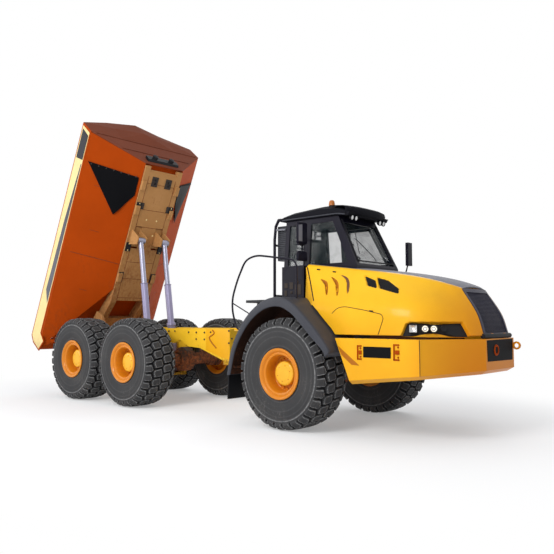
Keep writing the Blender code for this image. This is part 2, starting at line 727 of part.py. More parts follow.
# Frame under the body: two long beams, cross plates, the hoist's ears and the hinge ears
def body_frame():
    front = wall_x(BODY_BOTTOM) - WALL_THICK - 0.02
    parts = []
    for _, side in SIDES:
        beam = [(front, BODY_BOTTOM), (-5.75, BODY_BOTTOM), (-6.85, BODY_BOTTOM + 0.38)]
        beam += [(x, chute_under(x) - SEAT) for x in (-6.85, CHUTE_X, front)]
        parts.append(prism(beam, *span(0.40, FLOOR_HALF, side)))
        ear = [(TIP_X + 0.40, BODY_BOTTOM + 0.08), (TIP_X + 0.14, TIP_Z - 0.09),
               (TIP_X + 0.08, TIP_Z - 0.13), (TIP_X - 0.08, TIP_Z - 0.13),
               (TIP_X - 0.14, TIP_Z - 0.07), (TIP_X - 0.25, BODY_BOTTOM + 0.13),
               (TIP_X - 0.25, BODY_BOTTOM + 0.45), (TIP_X + 0.40, BODY_BOTTOM + 0.28)]
        near = REAR_RAIL_Y + REAR_RAIL_WIDTH / 2 + RUN
        parts.append(prism(ear, *span(near, near + 0.06, side)))
        for y in (HOIST_Y - EYE_WIDTH / 2 - RUN - 0.03, HOIST_Y + EYE_WIDTH / 2 + RUN):
            x, z = HOIST_HEAD
            lug = [(x - 0.09, z - 0.06), (x + 0.09, z - 0.06), (x + 0.20, BODY_BOTTOM + 0.05),
                   (x - 0.20, BODY_BOTTOM + 0.05)]
            parts.append(prism(lug, *span(y, y + 0.03, side)))
        for x in (-2.9, -3.5, -5.2):
            parts.append(box((x, x + 0.22), span(0.44, FLOOR_HALF, side),
                             (REAR_RAIL_TOP + CLEAR, BODY_BOTTOM + 0.01)))
    near = REAR_RAIL_Y + REAR_RAIL_WIDTH / 2 + 0.05
    for x0, x1 in CROSS_PLATES:
        parts.append(box((x0, x1), (-0.45, 0.45), (BODY_BOTTOM + BELLY, FLOOR_Z - SEAT)))
    parts.append(box((TIP_X - 0.05, TIP_X + 0.25), (-near, near),
                     (BODY_BOTTOM + 0.21, BODY_BOTTOM + 0.35)))
    return node("body_frame", TAN, "tip_pivot", parts)


# Cross plates between the beams, and the depth that the closing plate below them is let in
CROSS_PLATES = ((-2.60, -2.40), (-3.40, -3.25), (-4.30, -3.80), (-5.25, -5.10))
BELLY = 0.018
body_frame()

# Closing plate between the beams, cut away beside the hoist's lugs
inner = 0.40 - SEAT
waist = HOIST_Y - EYE_WIDTH / 2 - 0.04
half_plan = [(-2.45, inner), (-3.78, inner), (-3.78, waist), (-4.34, waist), (-4.34, inner),
             (-5.70, inner)]
node("body_belly_plate", TAN, "tip_pivot", [
    prism(half_plan + [(x, -y) for x, y in half_plan[::-1]],
          BODY_BOTTOM, BODY_BOTTOM + BELLY - SEAT, "z"),
])

# Mudguards hang from the body's side plates ahead of the middle wheels
for side_name, side in SIDES:
    def under(y, drop):
        return SIDE_FOOT + (y - FLOOR_HALF) * SIDE_SLOPE - drop
    rings = []
    for drop in (SEAT * 2, 0.03):
        rings.append(mirrored([
            (-2.60, 1.55, under(1.55, drop)), (-2.64, 0.62, under(0.62, drop)),
            (-3.08, 0.62, under(0.62, drop)), (-3.64, 0.92, under(0.92, drop)),
        ], side))
    node(f"body_mudguard_{side_name}", RUBBER, "tip_pivot", [loft(rings)])

# Hoist: two-stage cylinders, set out along their own length from the foot pin
foot = Vector((HOIST_FOOT[0], 0.0, HOIST_FOOT[1]))
hinge = Vector((TIP_X, 0.0, TIP_Z))
arm = Vector((HOIST_HEAD[0], 0.0, HOIST_HEAD[1])) - hinge
raised = math.radians(TIP_ANGLE)
head = hinge + Matrix.Rotation(-raised, 3, "Y") @ arm
reach = (head - foot).length
closed = (hinge + arm - foot).length
stroke = (reach - closed) / 2
lean = math.atan2(head.z - foot.z, head.x - foot.x)
for side_name, side in SIDES:
    base = Vector((foot.x, side * HOIST_Y, foot.z))
    for kind in ("hoist_barrel", "hoist_stage", "hoist_rod"):
        name = f"{kind}_{side_name}_pivot"
        empty = bpy.data.objects.new(name, None)
        bpy.context.collection.objects.link(empty)
        empty.parent = pivots["roll_pivot"]
        empty.location = base - places["roll_pivot"]
        pivots[name] = empty
        places[name] = base
    aim = Vector((math.cos(lean), 0.0, math.sin(lean)))
    wide, middle, thin = HOIST_RADII
    tall = closed - 0.16
    half = Vector((0.0, EYE_WIDTH / 2, 0.0))

    def at(distance):
        return base + aim * distance

    barrel = rod(at(0.04), at(tall), wide, 20)
    eye = rod(base - half, base + half, EYE_RADIUS, 20)
    cavity = rod(at(0.12), at(tall + 0.05), aligned_bore(middle, 20, RUN), 20)
    node(f"hoist_barrel_{side_name}", STEEL, f"hoist_barrel_{side_name}_pivot",
         [barrel, eye], [cavity])
    stage = rod(at(stroke + 0.14), at(stroke + tall + 0.03), middle, 20)
    cavity = rod(at(stroke + 0.17), at(stroke + tall + 0.10), aligned_bore(thin, 20, RUN), 20)
    node(f"hoist_stage_{side_name}", STEEL, f"hoist_stage_{side_name}_pivot", [stage], [cavity])
    tip = base + aim * reach
    piston = rod(at(2 * stroke + 0.19), tip - aim * 0.03, thin, 20)
    eye = rod(tip - half, tip + half, EYE_RADIUS, 20)
    node(f"hoist_rod_{side_name}", CHROME, f"hoist_rod_{side_name}_pivot", [piston, eye])


# Cowl that closes the gap between the hood's rear edge and the cab, on the side without a door
COWL_X = (-0.02, HOOD_REAR_X - CLEAR)
COWL_LOW_Y = (0.95, 1.215)
COWL_HIGH_Y = (0.90, 0.93)


def cowl():
    """Panel bowed outward from the cab's side to the hood, with its top turned in to the cab."""
    foot = FENDER_ARC[5][1] + SEAT * 2
    wall = CAB_HALF + SEAT
    rings = []
    for x, low_y, high_y in zip(COWL_X, COWL_LOW_Y, COWL_HIGH_Y):
        outer = [(low_y, foot), (high_y, CAB_BELT_Z), (wall, CAB_BELT_Z + 0.02)]
        inner = [(wall, CAB_BELT_Z - 0.01), (high_y - 0.03, CAB_BELT_Z - 0.03), (low_y - 0.03, foot)]
        rings.append([(x, -y, z) for y, z in outer + inner])
    return node("cowl_right", YELLOW, "truck", [loft(rings)])


# Bumper: a wrap of side, corner and front panels with a turned-in lip above and below
BUMPER_PLAN = (
    (1.02, 1.28, 1.50, 0.88), (2.48, 2.48, 1.50, 1.01), (3.02, 3.02, 0.52, 1.06),
)
BUMPER_TOP = 1.52


def bumper():
    columns = [(a, b, y, z) for a, b, y, z in BUMPER_PLAN]
    columns = [(a, b, -y, z) for a, b, y, z in columns] + columns[::-1]
    thick = 0.035

    def inset(x, y, by):
        """Moves a plan point towards the truck's middle line and rear."""
        shrink = 1 - by / 1.5
        return 1.02 + (x - 1.02) * (1 - by / 2.0), y * shrink

    rings = []
    outer_rows = []
    inner_rows = []
    for row in range(4):
        outer, inner = [], []
        for top_x, low_x, y, low in columns:
            if row == 0:
                point, deep = (*inset(top_x, y, 0.12), BUMPER_TOP), (0.12, -thick)
            elif row == 1:
                point, deep = (top_x, y, BUMPER_TOP), (thick, -thick)
            elif row == 2:
                point, deep = (low_x, y, low), (thick, 0.0)
            else:
                point, deep = (*inset(low_x, y, 0.10), low - 0.06), (thick, 0.0)
            outer.append(point)
            if row == 0:
                inner.append((point[0], point[1], point[2] - thick))
            else:
                x, yy = inset(point[0], point[1], thick)
                inner.append((x, yy, point[2] + deep[1]))
        outer_rows.append(outer)
        inner_rows.append(inner)
    sections = []
    for c in range(len(columns)):
        section = [outer_rows[r][c] for r in range(4)] + [inner_rows[r][c] for r in (3, 2, 1, 0)]
        sections.append(section)
    wrap = loft(sections)
    parts = [wrap]
    for _, side in SIDES:
        parts.append(box((FRONT_RAIL_X[1] + SEAT, 3.0), span(0.28, 0.36, side), (1.14, 1.34)))
        parts.append(box((LID_X - 0.03, LID_X + 0.03), span(0.20, 0.26, side),
                         (BUMPER_TOP - 0.02, LID_Z + 0.03)))
    loop = turned([(0.035, -0.012), (0.065, -0.012), (0.065, 0.012), (0.035, 0.012)],
                  (3.075, 0.50, 1.40), 12, "y")
    parts.append(loop)
    return node("bumper", YELLOW, "truck", parts)


bumper()

# Fenders over the front wheels, each with its deck and the flap behind the wheel
FENDER_ARC = (
    (-1.17, 0.84), (-1.07, 1.28), (-0.89, 1.63), (-0.64, 1.92), (-0.32, 2.12), (0.02, 2.18),
    (0.30, 2.08), (0.52, 1.91), (0.80, 1.64), (1.05, 1.34), (0.99, 1.24),
)


def inward(points, by, centre=(0.0, 0.92)):
    """Outline drawn towards a centre by a distance."""
    moved = []
    for x, z in points:
        gap = Vector((x - centre[0], z - centre[1]))
        gap *= 1 - by / gap.length
        moved.append((centre[0] + gap.x, centre[1] + gap.y))
    return moved


def fender(side_name, side):
    # Columns of the section: depth below the arc, distance from the middle of the truck
    section = ((0.0, 1.00), (0.0, FENDER_Y), (0.10, FENDER_Y), (0.10, FENDER_Y - 0.05),
               (0.04, FENDER_Y - 0.05), (0.04, 1.00))
    rings = []
    for point in FENDER_ARC:
        moved = [inward([point], by)[0] for by, _ in section]
        rings.append([(x, side * y, z) for (x, z), (_, y) in zip(moved, section)])
    skin = loft(rings)
    beside = CAB_HALF + 0.02
    deck = box((-1.0, 0.15), span(beside, 1.40, side), (DECK_Z - 0.05, DECK_Z))
    foot = box((-1.07, CAB_REAR_X - CLEAR), span(GUARD_Y - 0.05, 1.10, side), (DECK_Z - 0.05, DECK_Z))
    drop = box((-1.02, -0.96), span(beside, 1.10, side), (1.55, DECK_Z - 0.01))
    flap = box((-1.19, -1.155), span(1.05, FENDER_Y - 0.06, side), (0.42, 0.95))
    parts = [skin, deck, foot, drop, flap]
    if side < 0:
        # Handrail over the right deck, bowed back behind the fender, and its brace
        y = -RAIL_TUBE_Y
        parts.append(bent_tube([(0.12, y + 0.16, DECK_Z - 0.02), (0.12, y + 0.16, 2.80),
                                (-0.38, y + 0.06, 2.88), (-0.66, y, 2.92), (-0.92, y, 2.85),
                                (-1.12, y, 2.50), (-1.24, y, 2.19), (-1.24, y, 1.95),
                                (-1.12, y, 1.62), (-0.88, y, 1.62)], 0.016))
        parts.append(bent_tube([(-1.24, y, 2.10), (-0.66, y - 0.11, 1.88)], 0.011))
    return node(f"fender_{side_name}", GREY, "truck", parts)


for side_name, side in SIDES:
    fender(side_name, side)
cowl()


DOOR_HINGE_Z = (2.40, 3.20)
# Front edge of the door's lower part at its foot and at the step above the hood, and the step's height
DOOR_STEP = (0.20, 0.24, CAB_BELT_Z + 0.03)
# Gap ahead of the door, whose inner edge swings forward as it opens, and its growth with height
DOOR_GAP = 0.014
DOOR_EASE = 0.016

# Cab: floor, walls and pillars with the windows cut, a roof and its panes
def cab_block(shrink, low, high):
    """Cab's outline as a solid, drawn in by the wall's thickness for the hollow."""
    half, top_half = CAB_HALF - shrink, CAB_TOP_HALF - shrink
    rear, front, brow = CAB_REAR_X + shrink, CAB_FRONT_X - shrink, CAB_BROW_X - shrink

    def widths(z):
        t = max(0.0, (z - CAB_BELT_Z) / (CAB_TOP_Z - CAB_BELT_Z))
        return half + (top_half - half) * t, front + (brow - front) * t

    rings = []
    for z in (low, CAB_BELT_Z, high):
        wide, ahead = widths(z)
        rings.append([(rear, -wide, z), (ahead, -wide, z), (ahead, wide, z), (rear, wide, z)])
    return loft(rings)


def cab_side(z):
    """Half-width of the cab's outer face at a height."""
    return CAB_HALF - (CAB_HALF - CAB_TOP_HALF) / (CAB_TOP_Z - CAB_BELT_Z) * max(0.0, z - CAB_BELT_Z)


def cab():
    shell = cab_block(0.0, CAB_FOOT_Z, CAB_TOP_Z)
    hollow = cab_block(CAB_WALL, CAB_FLOOR_Z, CAB_TOP_Z + 0.3)
    cuts = [hollow]
    sill, head_z = CAB_BELT_Z + 0.06, CAB_TOP_Z - 0.10
    slope = (CAB_FRONT_X - CAB_BROW_X) / (CAB_TOP_Z - CAB_BELT_Z)

    def pillar(z):
        return CAB_FRONT_X - slope * (z - CAB_BELT_Z) - 0.16

    front_side = [(-0.16, sill), (pillar(sill), sill), (pillar(head_z), head_z), (-0.16, head_z)]
    cuts.append(prism(front_side, -0.9, -0.4))
    cuts.append(prism([(-0.66, sill), (-0.30, sill), (-0.30, head_z), (-0.66, head_z)], -0.9, -0.4))
    cuts.append(prism([(-0.66, sill), (-0.34, sill), (-0.34, head_z), (-0.66, head_z)], 0.4, 0.9))
    low_x, step_x, step_z = DOOR_STEP
    door = [(-0.18, CAB_FLOOR_Z + 0.04), (low_x, CAB_FLOOR_Z + 0.04), (step_x, step_z),
            (pillar(step_z) + 0.04, step_z), (pillar(head_z) + 0.04, head_z), (-0.18, head_z)]
    cuts.append(prism(door, 0.4, 0.9))
    low_y, high_y = CAB_HALF - 0.14, CAB_TOP_HALF - 0.12
    cuts.append(prism([(-low_y, sill), (low_y, sill), (high_y, head_z), (-high_y, head_z)],
                      -0.95, -0.55, "x"))
    low_y, high_y = CAB_HALF - 0.11, CAB_TOP_HALF - 0.09
    cuts.append(prism([(-low_y, sill - 0.02), (low_y, sill - 0.02), (high_y, head_z - 0.02),
                       (-high_y, head_z - 0.02)], 0.30, 1.0, "x"))
    cab_shell = node("cab_shell", BLACK, "truck", [shell], cuts)
    hinges = []
    for z in DOOR_HINGE_Z:
        hinges.append(rod((-0.20, CAB_HALF + 0.03, z - 0.04), (-0.20, CAB_HALF + 0.03, z - SEAT), 0.016, 12))
        hinges.append(box((-0.24, -0.19), (cab_side(z) - 0.03, CAB_HALF + 0.035),
                          (z - 0.04, z - SEAT)))
    # Mirrors on their arm and the cabinet beside the cab, both on the right
    out = CAB_HALF + 0.02
    fittings = [
        bent_tube([(-0.26, 0.03 - cab_side(3.25), 3.25), (-0.26, -out, 3.25),
                   (-0.12, -out - 0.22, 3.25), (-0.12, -out - 0.22, 2.90)], 0.016),
        box((-0.16, -0.09), (-out - 0.32, -out - 0.18), (3.10, 3.50)),
        box((-0.17, -0.09), (-out - 0.32, -out - 0.18), (2.84, 3.00)),
        box((-0.56, -0.06), (-CAB_HALF - 0.27, -CAB_HALF + 0.01), (DECK_Z + SEAT, 2.74)),
    ]
    # Console across the cab's front with the steering wheel on its column
    fittings.append(prism([(0.42, CAB_FLOOR_Z - 0.01), (0.70, CAB_FLOOR_Z - 0.01),
                           (0.78, CAB_BELT_Z - 0.02), (0.70, CAB_BELT_Z + 0.02),
                           (0.46, CAB_BELT_Z - 0.06)], 0.16 - CAB_HALF, CAB_HALF - 0.16))
    wheel_centre = Vector((0.30, 0.0, 2.83))
    column_foot = Vector((0.50, 0.0, 2.56))
    lean_back = (wheel_centre - column_foot).normalized()
    tilt = Matrix.Translation(wheel_centre)
    tilt = tilt @ Vector((0, 0, 1)).rotation_difference(lean_back).to_matrix().to_4x4()
    steering = turned([(0.155, -0.012), (0.185, -0.012), (0.185, 0.012), (0.155, 0.012)],
                      (0, 0, 0), 20, "z")
    spoke = box((-0.02, 0.02), (-0.165, 0.165), (-0.01, 0.01))
    for thing in (steering, spoke):
        thing.data.transform(tilt)
    fittings += [rod(column_foot, wheel_centre + lean_back * 0.005, 0.03, 12), spoke, steering]
    combine(cab_shell, hinges + fittings, "UNION")
    return cab_shell


cab()


def slab(corners, out, thickness):
    """Flat pane through its corners, pushed along a direction."""
    push = Vector(out).normalized() * thickness
    return loft([[Vector(c) for c in corners], [Vector(c) + push for c in corners]])


def cab_glass():
    slope = (CAB_FRONT_X - CAB_BROW_X) / (CAB_TOP_Z - CAB_BELT_Z)
    taper = (CAB_HALF - CAB_TOP_HALF) / (CAB_TOP_Z - CAB_BELT_Z)
    sill, head_z = CAB_BELT_Z + 0.06, CAB_TOP_Z - 0.10
    gap = 0.0008

    def face(z):
        return CAB_FRONT_X - slope * (z - CAB_BELT_Z) - 0.02

    def side_y(z):
        return CAB_HALF - taper * (z - CAB_BELT_Z) - 0.02

    low, high = sill - 0.02 + 0.0045, head_z - 0.02 - gap
    low_y, high_y = CAB_HALF - 0.11 - gap * 2, CAB_TOP_HALF - 0.09 - gap * 2
    front = [(face(low), -low_y, low), (face(low), low_y, low),
             (face(high), high_y, high), (face(high), -high_y, high)]
    node("windscreen", GLASS, "truck", [slab(front, (-1, 0, -slope), 0.008)])
    low, high = sill + gap, head_z - gap
    low_y, high_y = CAB_HALF - 0.14 - gap * 2, CAB_TOP_HALF - 0.12 - gap * 2
    behind = CAB_REAR_X + 0.02
    rear = [(behind, -low_y, low), (behind, low_y, low), (behind, high_y, high),
            (behind, -high_y, high)]
    node("rear_window", GLASS, "truck", [slab(rear, (1, 0, 0), 0.008)])

    def pillar(z):
        return CAB_FRONT_X - slope * (z - CAB_BELT_Z) - 0.16

    for name, x0, x1 in (("side_window_right", -0.16, None),
                         ("quarter_window_right", -0.66, -0.30)):
        ends = [x1 if x1 is not None else pillar(z) - 2 * gap for z in (low, high)]
        corners = [(x0 + gap, -side_y(low), low), (ends[0] - gap, -side_y(low), low),
                   (ends[1] - gap, -side_y(high), high), (x0 + gap, -side_y(high), high)]
        node(name, GLASS, "truck", [slab(corners, (0, 1, taper), 0.008)])


cab_glass()


# Door on the left, hung at its rear edge
def cab_door():
    slope = (CAB_FRONT_X - CAB_BROW_X) / (CAB_TOP_Z - CAB_BELT_Z)
    taper = (CAB_HALF - CAB_TOP_HALF) / (CAB_TOP_Z - CAB_BELT_Z)
    head_z = CAB_TOP_Z - 0.10
    low = CAB_FLOOR_Z + 0.04 + CLEAR
    top = head_z - CLEAR

    def pillar(z):
        """Front edge, drawn back further towards the roof, where the door leans in and swings out."""
        up = max(z, CAB_BELT_Z) - CAB_BELT_Z
        return CAB_FRONT_X - (slope + DOOR_EASE) * up - 0.12 - DOOR_GAP

    def skin(z):
        return CAB_HALF - taper * max(0.0, z - CAB_BELT_Z)

    low_x, step_x, step_z = DOOR_STEP
    back, step = -0.18 + CLEAR, step_z + CLEAR
    low_x, step_x = low_x - DOOR_GAP, step_x - DOOR_GAP
    lower = [(back, low), (back, CAB_BELT_Z), (step_x, CAB_BELT_Z), (low_x, low)]
    upper = [(back, CAB_BELT_Z), (back, top), (pillar(top), top), (pillar(step), step),
             (step_x, step), (step_x, CAB_BELT_Z)]
    panel = []
    for outline in (lower, upper):
        outer = [(x, skin(z), z) for x, z in outline]
        panel.append(loft([outer, [(x, y - 0.045, z) for x, y, z in outer]]))
    sill = CAB_BELT_Z + 0.09
    frame = 0.05
    window = prism([(-0.18 + frame, sill), (pillar(sill) - frame, sill),
                    (pillar(top - frame) - frame, top - frame), (-0.18 + frame, top - frame)],
                   0.4, 0.9)
    knuckles = []
    for z in DOOR_HINGE_Z:
        knuckles.append(rod((-0.20, CAB_HALF + 0.03, z), (-0.20, CAB_HALF + 0.03, z + 0.08), 0.016, 12))
        knuckles.append(box((-0.20, -0.12), (CAB_HALF + 0.008, CAB_HALF + 0.040), (z + 0.01, z + 0.07)))
        knuckles.append(box((-0.165, -0.12), (skin(z) - 0.02, CAB_HALF + 0.030), (z + 0.01, z + 0.07)))
    node("door_left", BLACK, "door_pivot", [*panel, *knuckles], [window])
    gap = 0.0008
    bottom, upper = sill + gap, top - frame - gap
    corners = [(-0.18 + frame + gap, skin(bottom) - 0.02, bottom),
               (pillar(bottom) - frame - 2 * gap, skin(bottom) - 0.02, bottom),
               (pillar(upper) - frame - 2 * gap, skin(upper) - 0.02, upper),
               (-0.18 + frame + gap, skin(upper) - 0.02, upper)]
    node("door_glass_left", GLASS, "door_pivot", [slab(corners, (0, -1, -taper), 0.008)])


cab_door()


def cab_roof():
    low = CAB_TOP_Z + SEAT
    side_line = [(ROOF_REAR_X, low), (0.46, low), (0.66, low - 0.03), (0.70, low + 0.03),
                 (0.45, 3.78), (0.05, 3.81), (-0.60, 3.77), (ROOF_REAR_X, 3.72)]
    rings = []
    for y, drop in ((-0.62, 0.05), (-0.52, 0.0), (0.52, 0.0), (0.62, 0.05)):
        rings.append([(x, y, z - (drop if z > low + 0.05 else 0.0)) for x, z in side_line])
    parts = [loft(rings)]
    for y in (-0.42, 0.42):
        parts.append(box((0.55, 0.68), (y - 0.09, y + 0.09), (3.66, 3.74)))
    parts.append(rod((0.20, -0.45, 3.75), (0.20, -0.45, 3.91), 0.05, 16, 0.04))
    return node("cab_roof", GREY, "truck", parts)


cab_roof()

# Seat, seen through the glass
node("seat", SEAT_CLOTH, "truck", [
    box((-0.45, 0.02), (-0.24, 0.24), (2.55, 2.67)),
    box((-0.35, -0.08), (-0.15, 0.15), (CAB_FLOOR_Z + SEAT, 2.57)),
    prism([(-0.43, 2.60), (-0.33, 2.60), (-0.45, 3.30), (-0.55, 3.30)], -0.24, 0.24),
])

# Tubular guard behind the cab
guard = [(-1.03, DECK_Z + SEAT), (-1.03, 3.30), (-1.00, 3.55), (-0.93, 3.66),
         (ROOF_REAR_X - SEAT, 3.66)]
node("rear_guard", BLACK, "truck", [
    bent_tube([(x, -GUARD_Y, z) for x, z in guard], 0.03),
    bent_tube([(x, GUARD_Y, z) for x, z in guard], 0.03),
    bent_tube([(-1.03, -GUARD_Y, 3.20), (-1.03, GUARD_Y, 3.20)], 0.022),
    bent_tube([(-1.03, -GUARD_Y, 2.25), (-1.03, GUARD_Y, 2.25)], 0.022),
])

# Air cleaner housing between guard and cab
node("air_box", GREY, "truck", [
    box((-0.99, CAB_REAR_X - SEAT), (0.105 - CAB_HALF, 0.39 - CAB_HALF), (2.90, 3.55)),
])


# Hood: one shell from belt to ridge, leaning nose, open below and behind
HOOD_BELT = ((0.25, 1.30), (1.10, 1.33), (2.00, 1.30), (2.50, 1.10), (2.85, 0.72), (2.97, 0.47))
HOOD_WAIST = ((0.25, 1.27), (1.10, 1.28), (1.95, 1.22), (2.42, 1.02), (2.72, 0.68), (2.86, 0.46))
HOOD_RIDGE = ((0.25, 0.93), (1.00, 0.88), (1.70, 0.79), (2.15, 0.70), (2.45, 0.58), (2.62, 0.44))
HOOD_Z = ((1.57, 1.57, 1.57, 1.57, 1.57, 1.57), (2.05, 2.05, 2.03, 1.98, 1.93, 1.90),
          (2.72, 2.62, 2.52, 2.43, 2.34, 2.27))


def hood_rings(inset):
    rings = []
    for plan, heights in zip((HOOD_BELT, HOOD_WAIST, HOOD_RIDGE), HOOD_Z):
        half = []
        for (x, y), z in zip(plan, heights):
            ahead = (x - 0.25) * (1 - inset / 2.6) + 0.25
            half.append((ahead, y * (1 - inset / 1.2), z - (inset if z > 2.2 else 0.0)))
        rings.append([(x, -y, z) for x, y, z in half] + half[::-1])
    return rings


# Corner of the hood that the lamps sit in, in plan, and the recess's height
LAMP_CORNER = ((2.15, 1.24), (2.50, 1.10), (2.80, 0.775))
LAMP_Z = (1.60, 1.74)


def lamp_plan(inset, trim=0.0):
    """Corner's plan drawn in, its two ends cut short by the trim."""
    points = [Vector(p) for p in LAMP_CORNER]
    middle = points[1]
    points[0] += (middle - points[0]).normalized() * trim
    points[2] += (middle - points[2]).normalized() * trim
    return [(p.x - 0.6 * inset, p.y - 0.8 * inset) for p in points]


# Openings pressed into each side of the hood, between waist and ridge: x, z of their corners
HOOD_VENTS = (
    ((1.215, 2.504), (1.409, 2.431), (1.492, 2.314), (1.344, 2.351)),
    ((1.440, 2.470), (1.623, 2.424), (1.856, 2.287), (1.892, 2.215), (1.567, 2.304)),
)
# Curved scoops behind them: upper end, middle and lower end of the rear edge
HOOD_SCOOPS = (
    ((0.393, 2.485), (0.519, 2.395), (0.640, 2.185)),
    ((0.587, 2.520), (0.730, 2.388), (0.850, 2.185)),
    ((0.739, 2.550), (0.902, 2.448), (1.040, 2.215)),
)
VENT_DEPTH = 0.016


def along_line(plan, heights, x):
    """Distance from the middle plane and height of one of the hood's lines at a place along it."""
    for (xa, ya), (xb, yb), za, zb in zip(plan, plan[1:], heights, heights[1:]):
        if x <= xb:
            break
    t = (x - xa) / (xb - xa)
    return ya + (yb - ya) * t, za + (zb - za) * t


def hood_face(x, z):
    """Point of the hood's upper side at a place along it and a height."""
    low_y, low_z = along_line(HOOD_WAIST, HOOD_Z[1], x)
    high_y, high_z = along_line(HOOD_RIDGE, HOOD_Z[2], x)
    return Vector((x, low_y + (high_y - low_y) * (z - low_z) / (high_z - low_z), z))


def pressed(corners, side):
    """Tool for a shallow recess: the outline on the hood's side, swept across the surface."""
    on_face = [hood_face(x, z) for x, z in corners]
    out = (on_face[1] - on_face[0]).cross(on_face[-1] - on_face[0]).normalized()
    if out.y < 0:
        out = -out
    rings = []
    for lift in (-VENT_DEPTH, 0.04):
        rings.append([(p.x, side * p.y, p.z) for p in (q + out * lift for q in on_face)])
    return loft(rings)


def hood():
    outer = loft(hood_rings(0.0))
    inner_rings = hood_rings(0.035)
    inner_rings[0] = [(x - (0.3 if x < 0.3 else 0.0), y, z - 0.05) for x, y, z in inner_rings[0]]
    inner_rings[1] = [(x - (0.3 if x < 0.3 else 0.0), y, z) for x, y, z in inner_rings[1]]
    inner_rings[2] = [(x - (0.3 if x < 0.3 else 0.0), y, z) for x, y, z in inner_rings[2]]
    hollow = loft(inner_rings)
    arch = [(x * 1.02, 0.92 + (z - 0.92) * 1.02) for x, z in FENDER_ARC]
    wheel_cut = prism(arch + [(-1.5, 0.5)], -1.8, 1.8)
    cab_cut = prism([(0.0, 1.60), (CAB_FRONT_X + 0.03, 1.60), (CAB_FRONT_X + 0.03, 2.70),
                     (CAB_BROW_X, 3.6), (0.0, 3.6)], -CAB_HALF - 0.03, CAB_HALF + 0.03)
    nose = prism([(-0.40, 1.61), (0.40, 1.61), (0.38, 2.20), (-0.38, 2.20)], 2.45, 3.2, "x")
    notch = box((2.85, 3.1), (-0.27, 0.27), (1.50, 1.615))
    ears = []
    for _, side in SIDES:
        ears.append(prism([(LID_X - 0.03, LID_Z - 0.022), (LID_X + 0.01, LID_Z - 0.022),
                           (LID_X - 0.01, LID_Z + 0.038), (LID_X - 0.09, LID_Z + 0.038)],
                          *span(0.26 + SEAT, 0.455, side)))
    recesses = []
    for _, side in SIDES:
        plan = lamp_plan(-0.25) + lamp_plan(0.20)[::-1]
        recesses.append(prism([(x, side * y) for x, y in plan], *LAMP_Z, "z"))
    for _, side in SIDES:
        for corners in HOOD_VENTS:
            recesses.append(pressed(corners, side))
        for upper, middle, lower in HOOD_SCOOPS:
            wide = 0.045
            ahead = [(lower[0] + 0.02, lower[1]), (middle[0] + wide, middle[1] + 0.01),
                     (upper[0] + 0.03, upper[1] + 0.005)]
            recesses.append(pressed([upper, middle, lower, *ahead], side))
    cuts = [hollow, wheel_cut, cab_cut, nose, notch, *recesses]
    shell = node("hood", YELLOW, "lid_pivot", [outer], cuts)
    combine(shell, ears, "UNION")
    return shell


hood()
node("grille", BLACK, "lid_pivot", [
    prism([(2.90, 1.6106), (2.955, 1.6106), (2.84, 1.90), (2.655, 2.1994), (2.60, 2.1994),
           (2.78, 1.88)], -0.3745, 0.3745),
])

# Engine block under the hood
node("engine_block", GREY, "truck", [
    box((0.95, 2.25), (-0.42, 0.42), (FRONT_RAIL_Z[1] + SEAT, 2.25)),
])

# Headlamp pods in the corners of the hood
for side_name, side in SIDES:
    rings = []
    for z, inset in ((LAMP_Z[0] + RUN, 0.02), (LAMP_Z[1] - RUN, 0.045)):
        front, back = lamp_plan(inset, 0.002), lamp_plan(0.12, 0.002)
        plan = front + back[::-1]
        rings.append([(x, side * y, z) for x, y in plan])
    node(f"headlamp_{side_name}", LAMP, "lid_pivot", [loft(rings)])

# Mirror that stands on the hood's left edge and goes forward with it
(x0, _), (x1, _) = HOOD_RIDGE[:2]
z0, z1 = HOOD_Z[2][:2]


def hood_top(x, lift):
    return z0 + (z1 - z0) * (x - x0) / (x1 - x0) + lift


foot_x = (0.88, 0.98)
node("mirror_left", BLACK, "lid_pivot", [
    prism([(foot_x[0], hood_top(foot_x[0], SEAT)), (foot_x[1], hood_top(foot_x[1], SEAT)),
           (foot_x[1], hood_top(foot_x[1], 0.02)), (foot_x[0], hood_top(foot_x[0], 0.02))],
          0.78, 0.86),
    bent_tube([(0.93, 0.82, hood_top(0.93, 0.01)), (0.93, 0.90, 2.80), (0.93, 0.95, 3.10)], 0.014),
    box((0.90, 0.96), (0.88, 1.02), (2.80, 3.23)),
])

# Steps on the left
node("access_left", BLACK, "truck", [
    bent_tube([(1.40, 1.50 + SEAT, 1.0), (1.40, 1.60, 1.0), (1.40, 1.60, 0.45),
               (1.85, 1.60, 0.45), (1.85, 1.60, 1.0), (1.85, 1.50 + SEAT, 1.0)], 0.02),
    box((1.40, 1.85), (1.50, 1.66), (0.66, 0.69)),
])

pivots["tip_pivot"].rotation_euler.y = -math.radians(TIP_ANGLE)

# The origin goes to the ground below the middle of the truck's length
bpy.context.view_layer.update()
ends = []
for thing in bpy.context.scene.objects:
    if thing.type == "MESH":
        ends += [(thing.matrix_world @ v.co).x for v in thing.data.vertices]
pivots["truck"].location.x = -(min(ends) + max(ends)) / 2
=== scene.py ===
# %% [markdown]
# # An articulated dump truck with its body raised
#
# The truck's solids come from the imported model, already in place and in metres. This lesson dresses
# them: it works out fine surfaces with numpy where the real machine is curved or lugged, and gives
# every piece a paint, rubber, glass or metal built from shader nodes. The solids stay the frame, so
# each new surface rides on the body that carries the real piece.

# %% Load the frame
import math

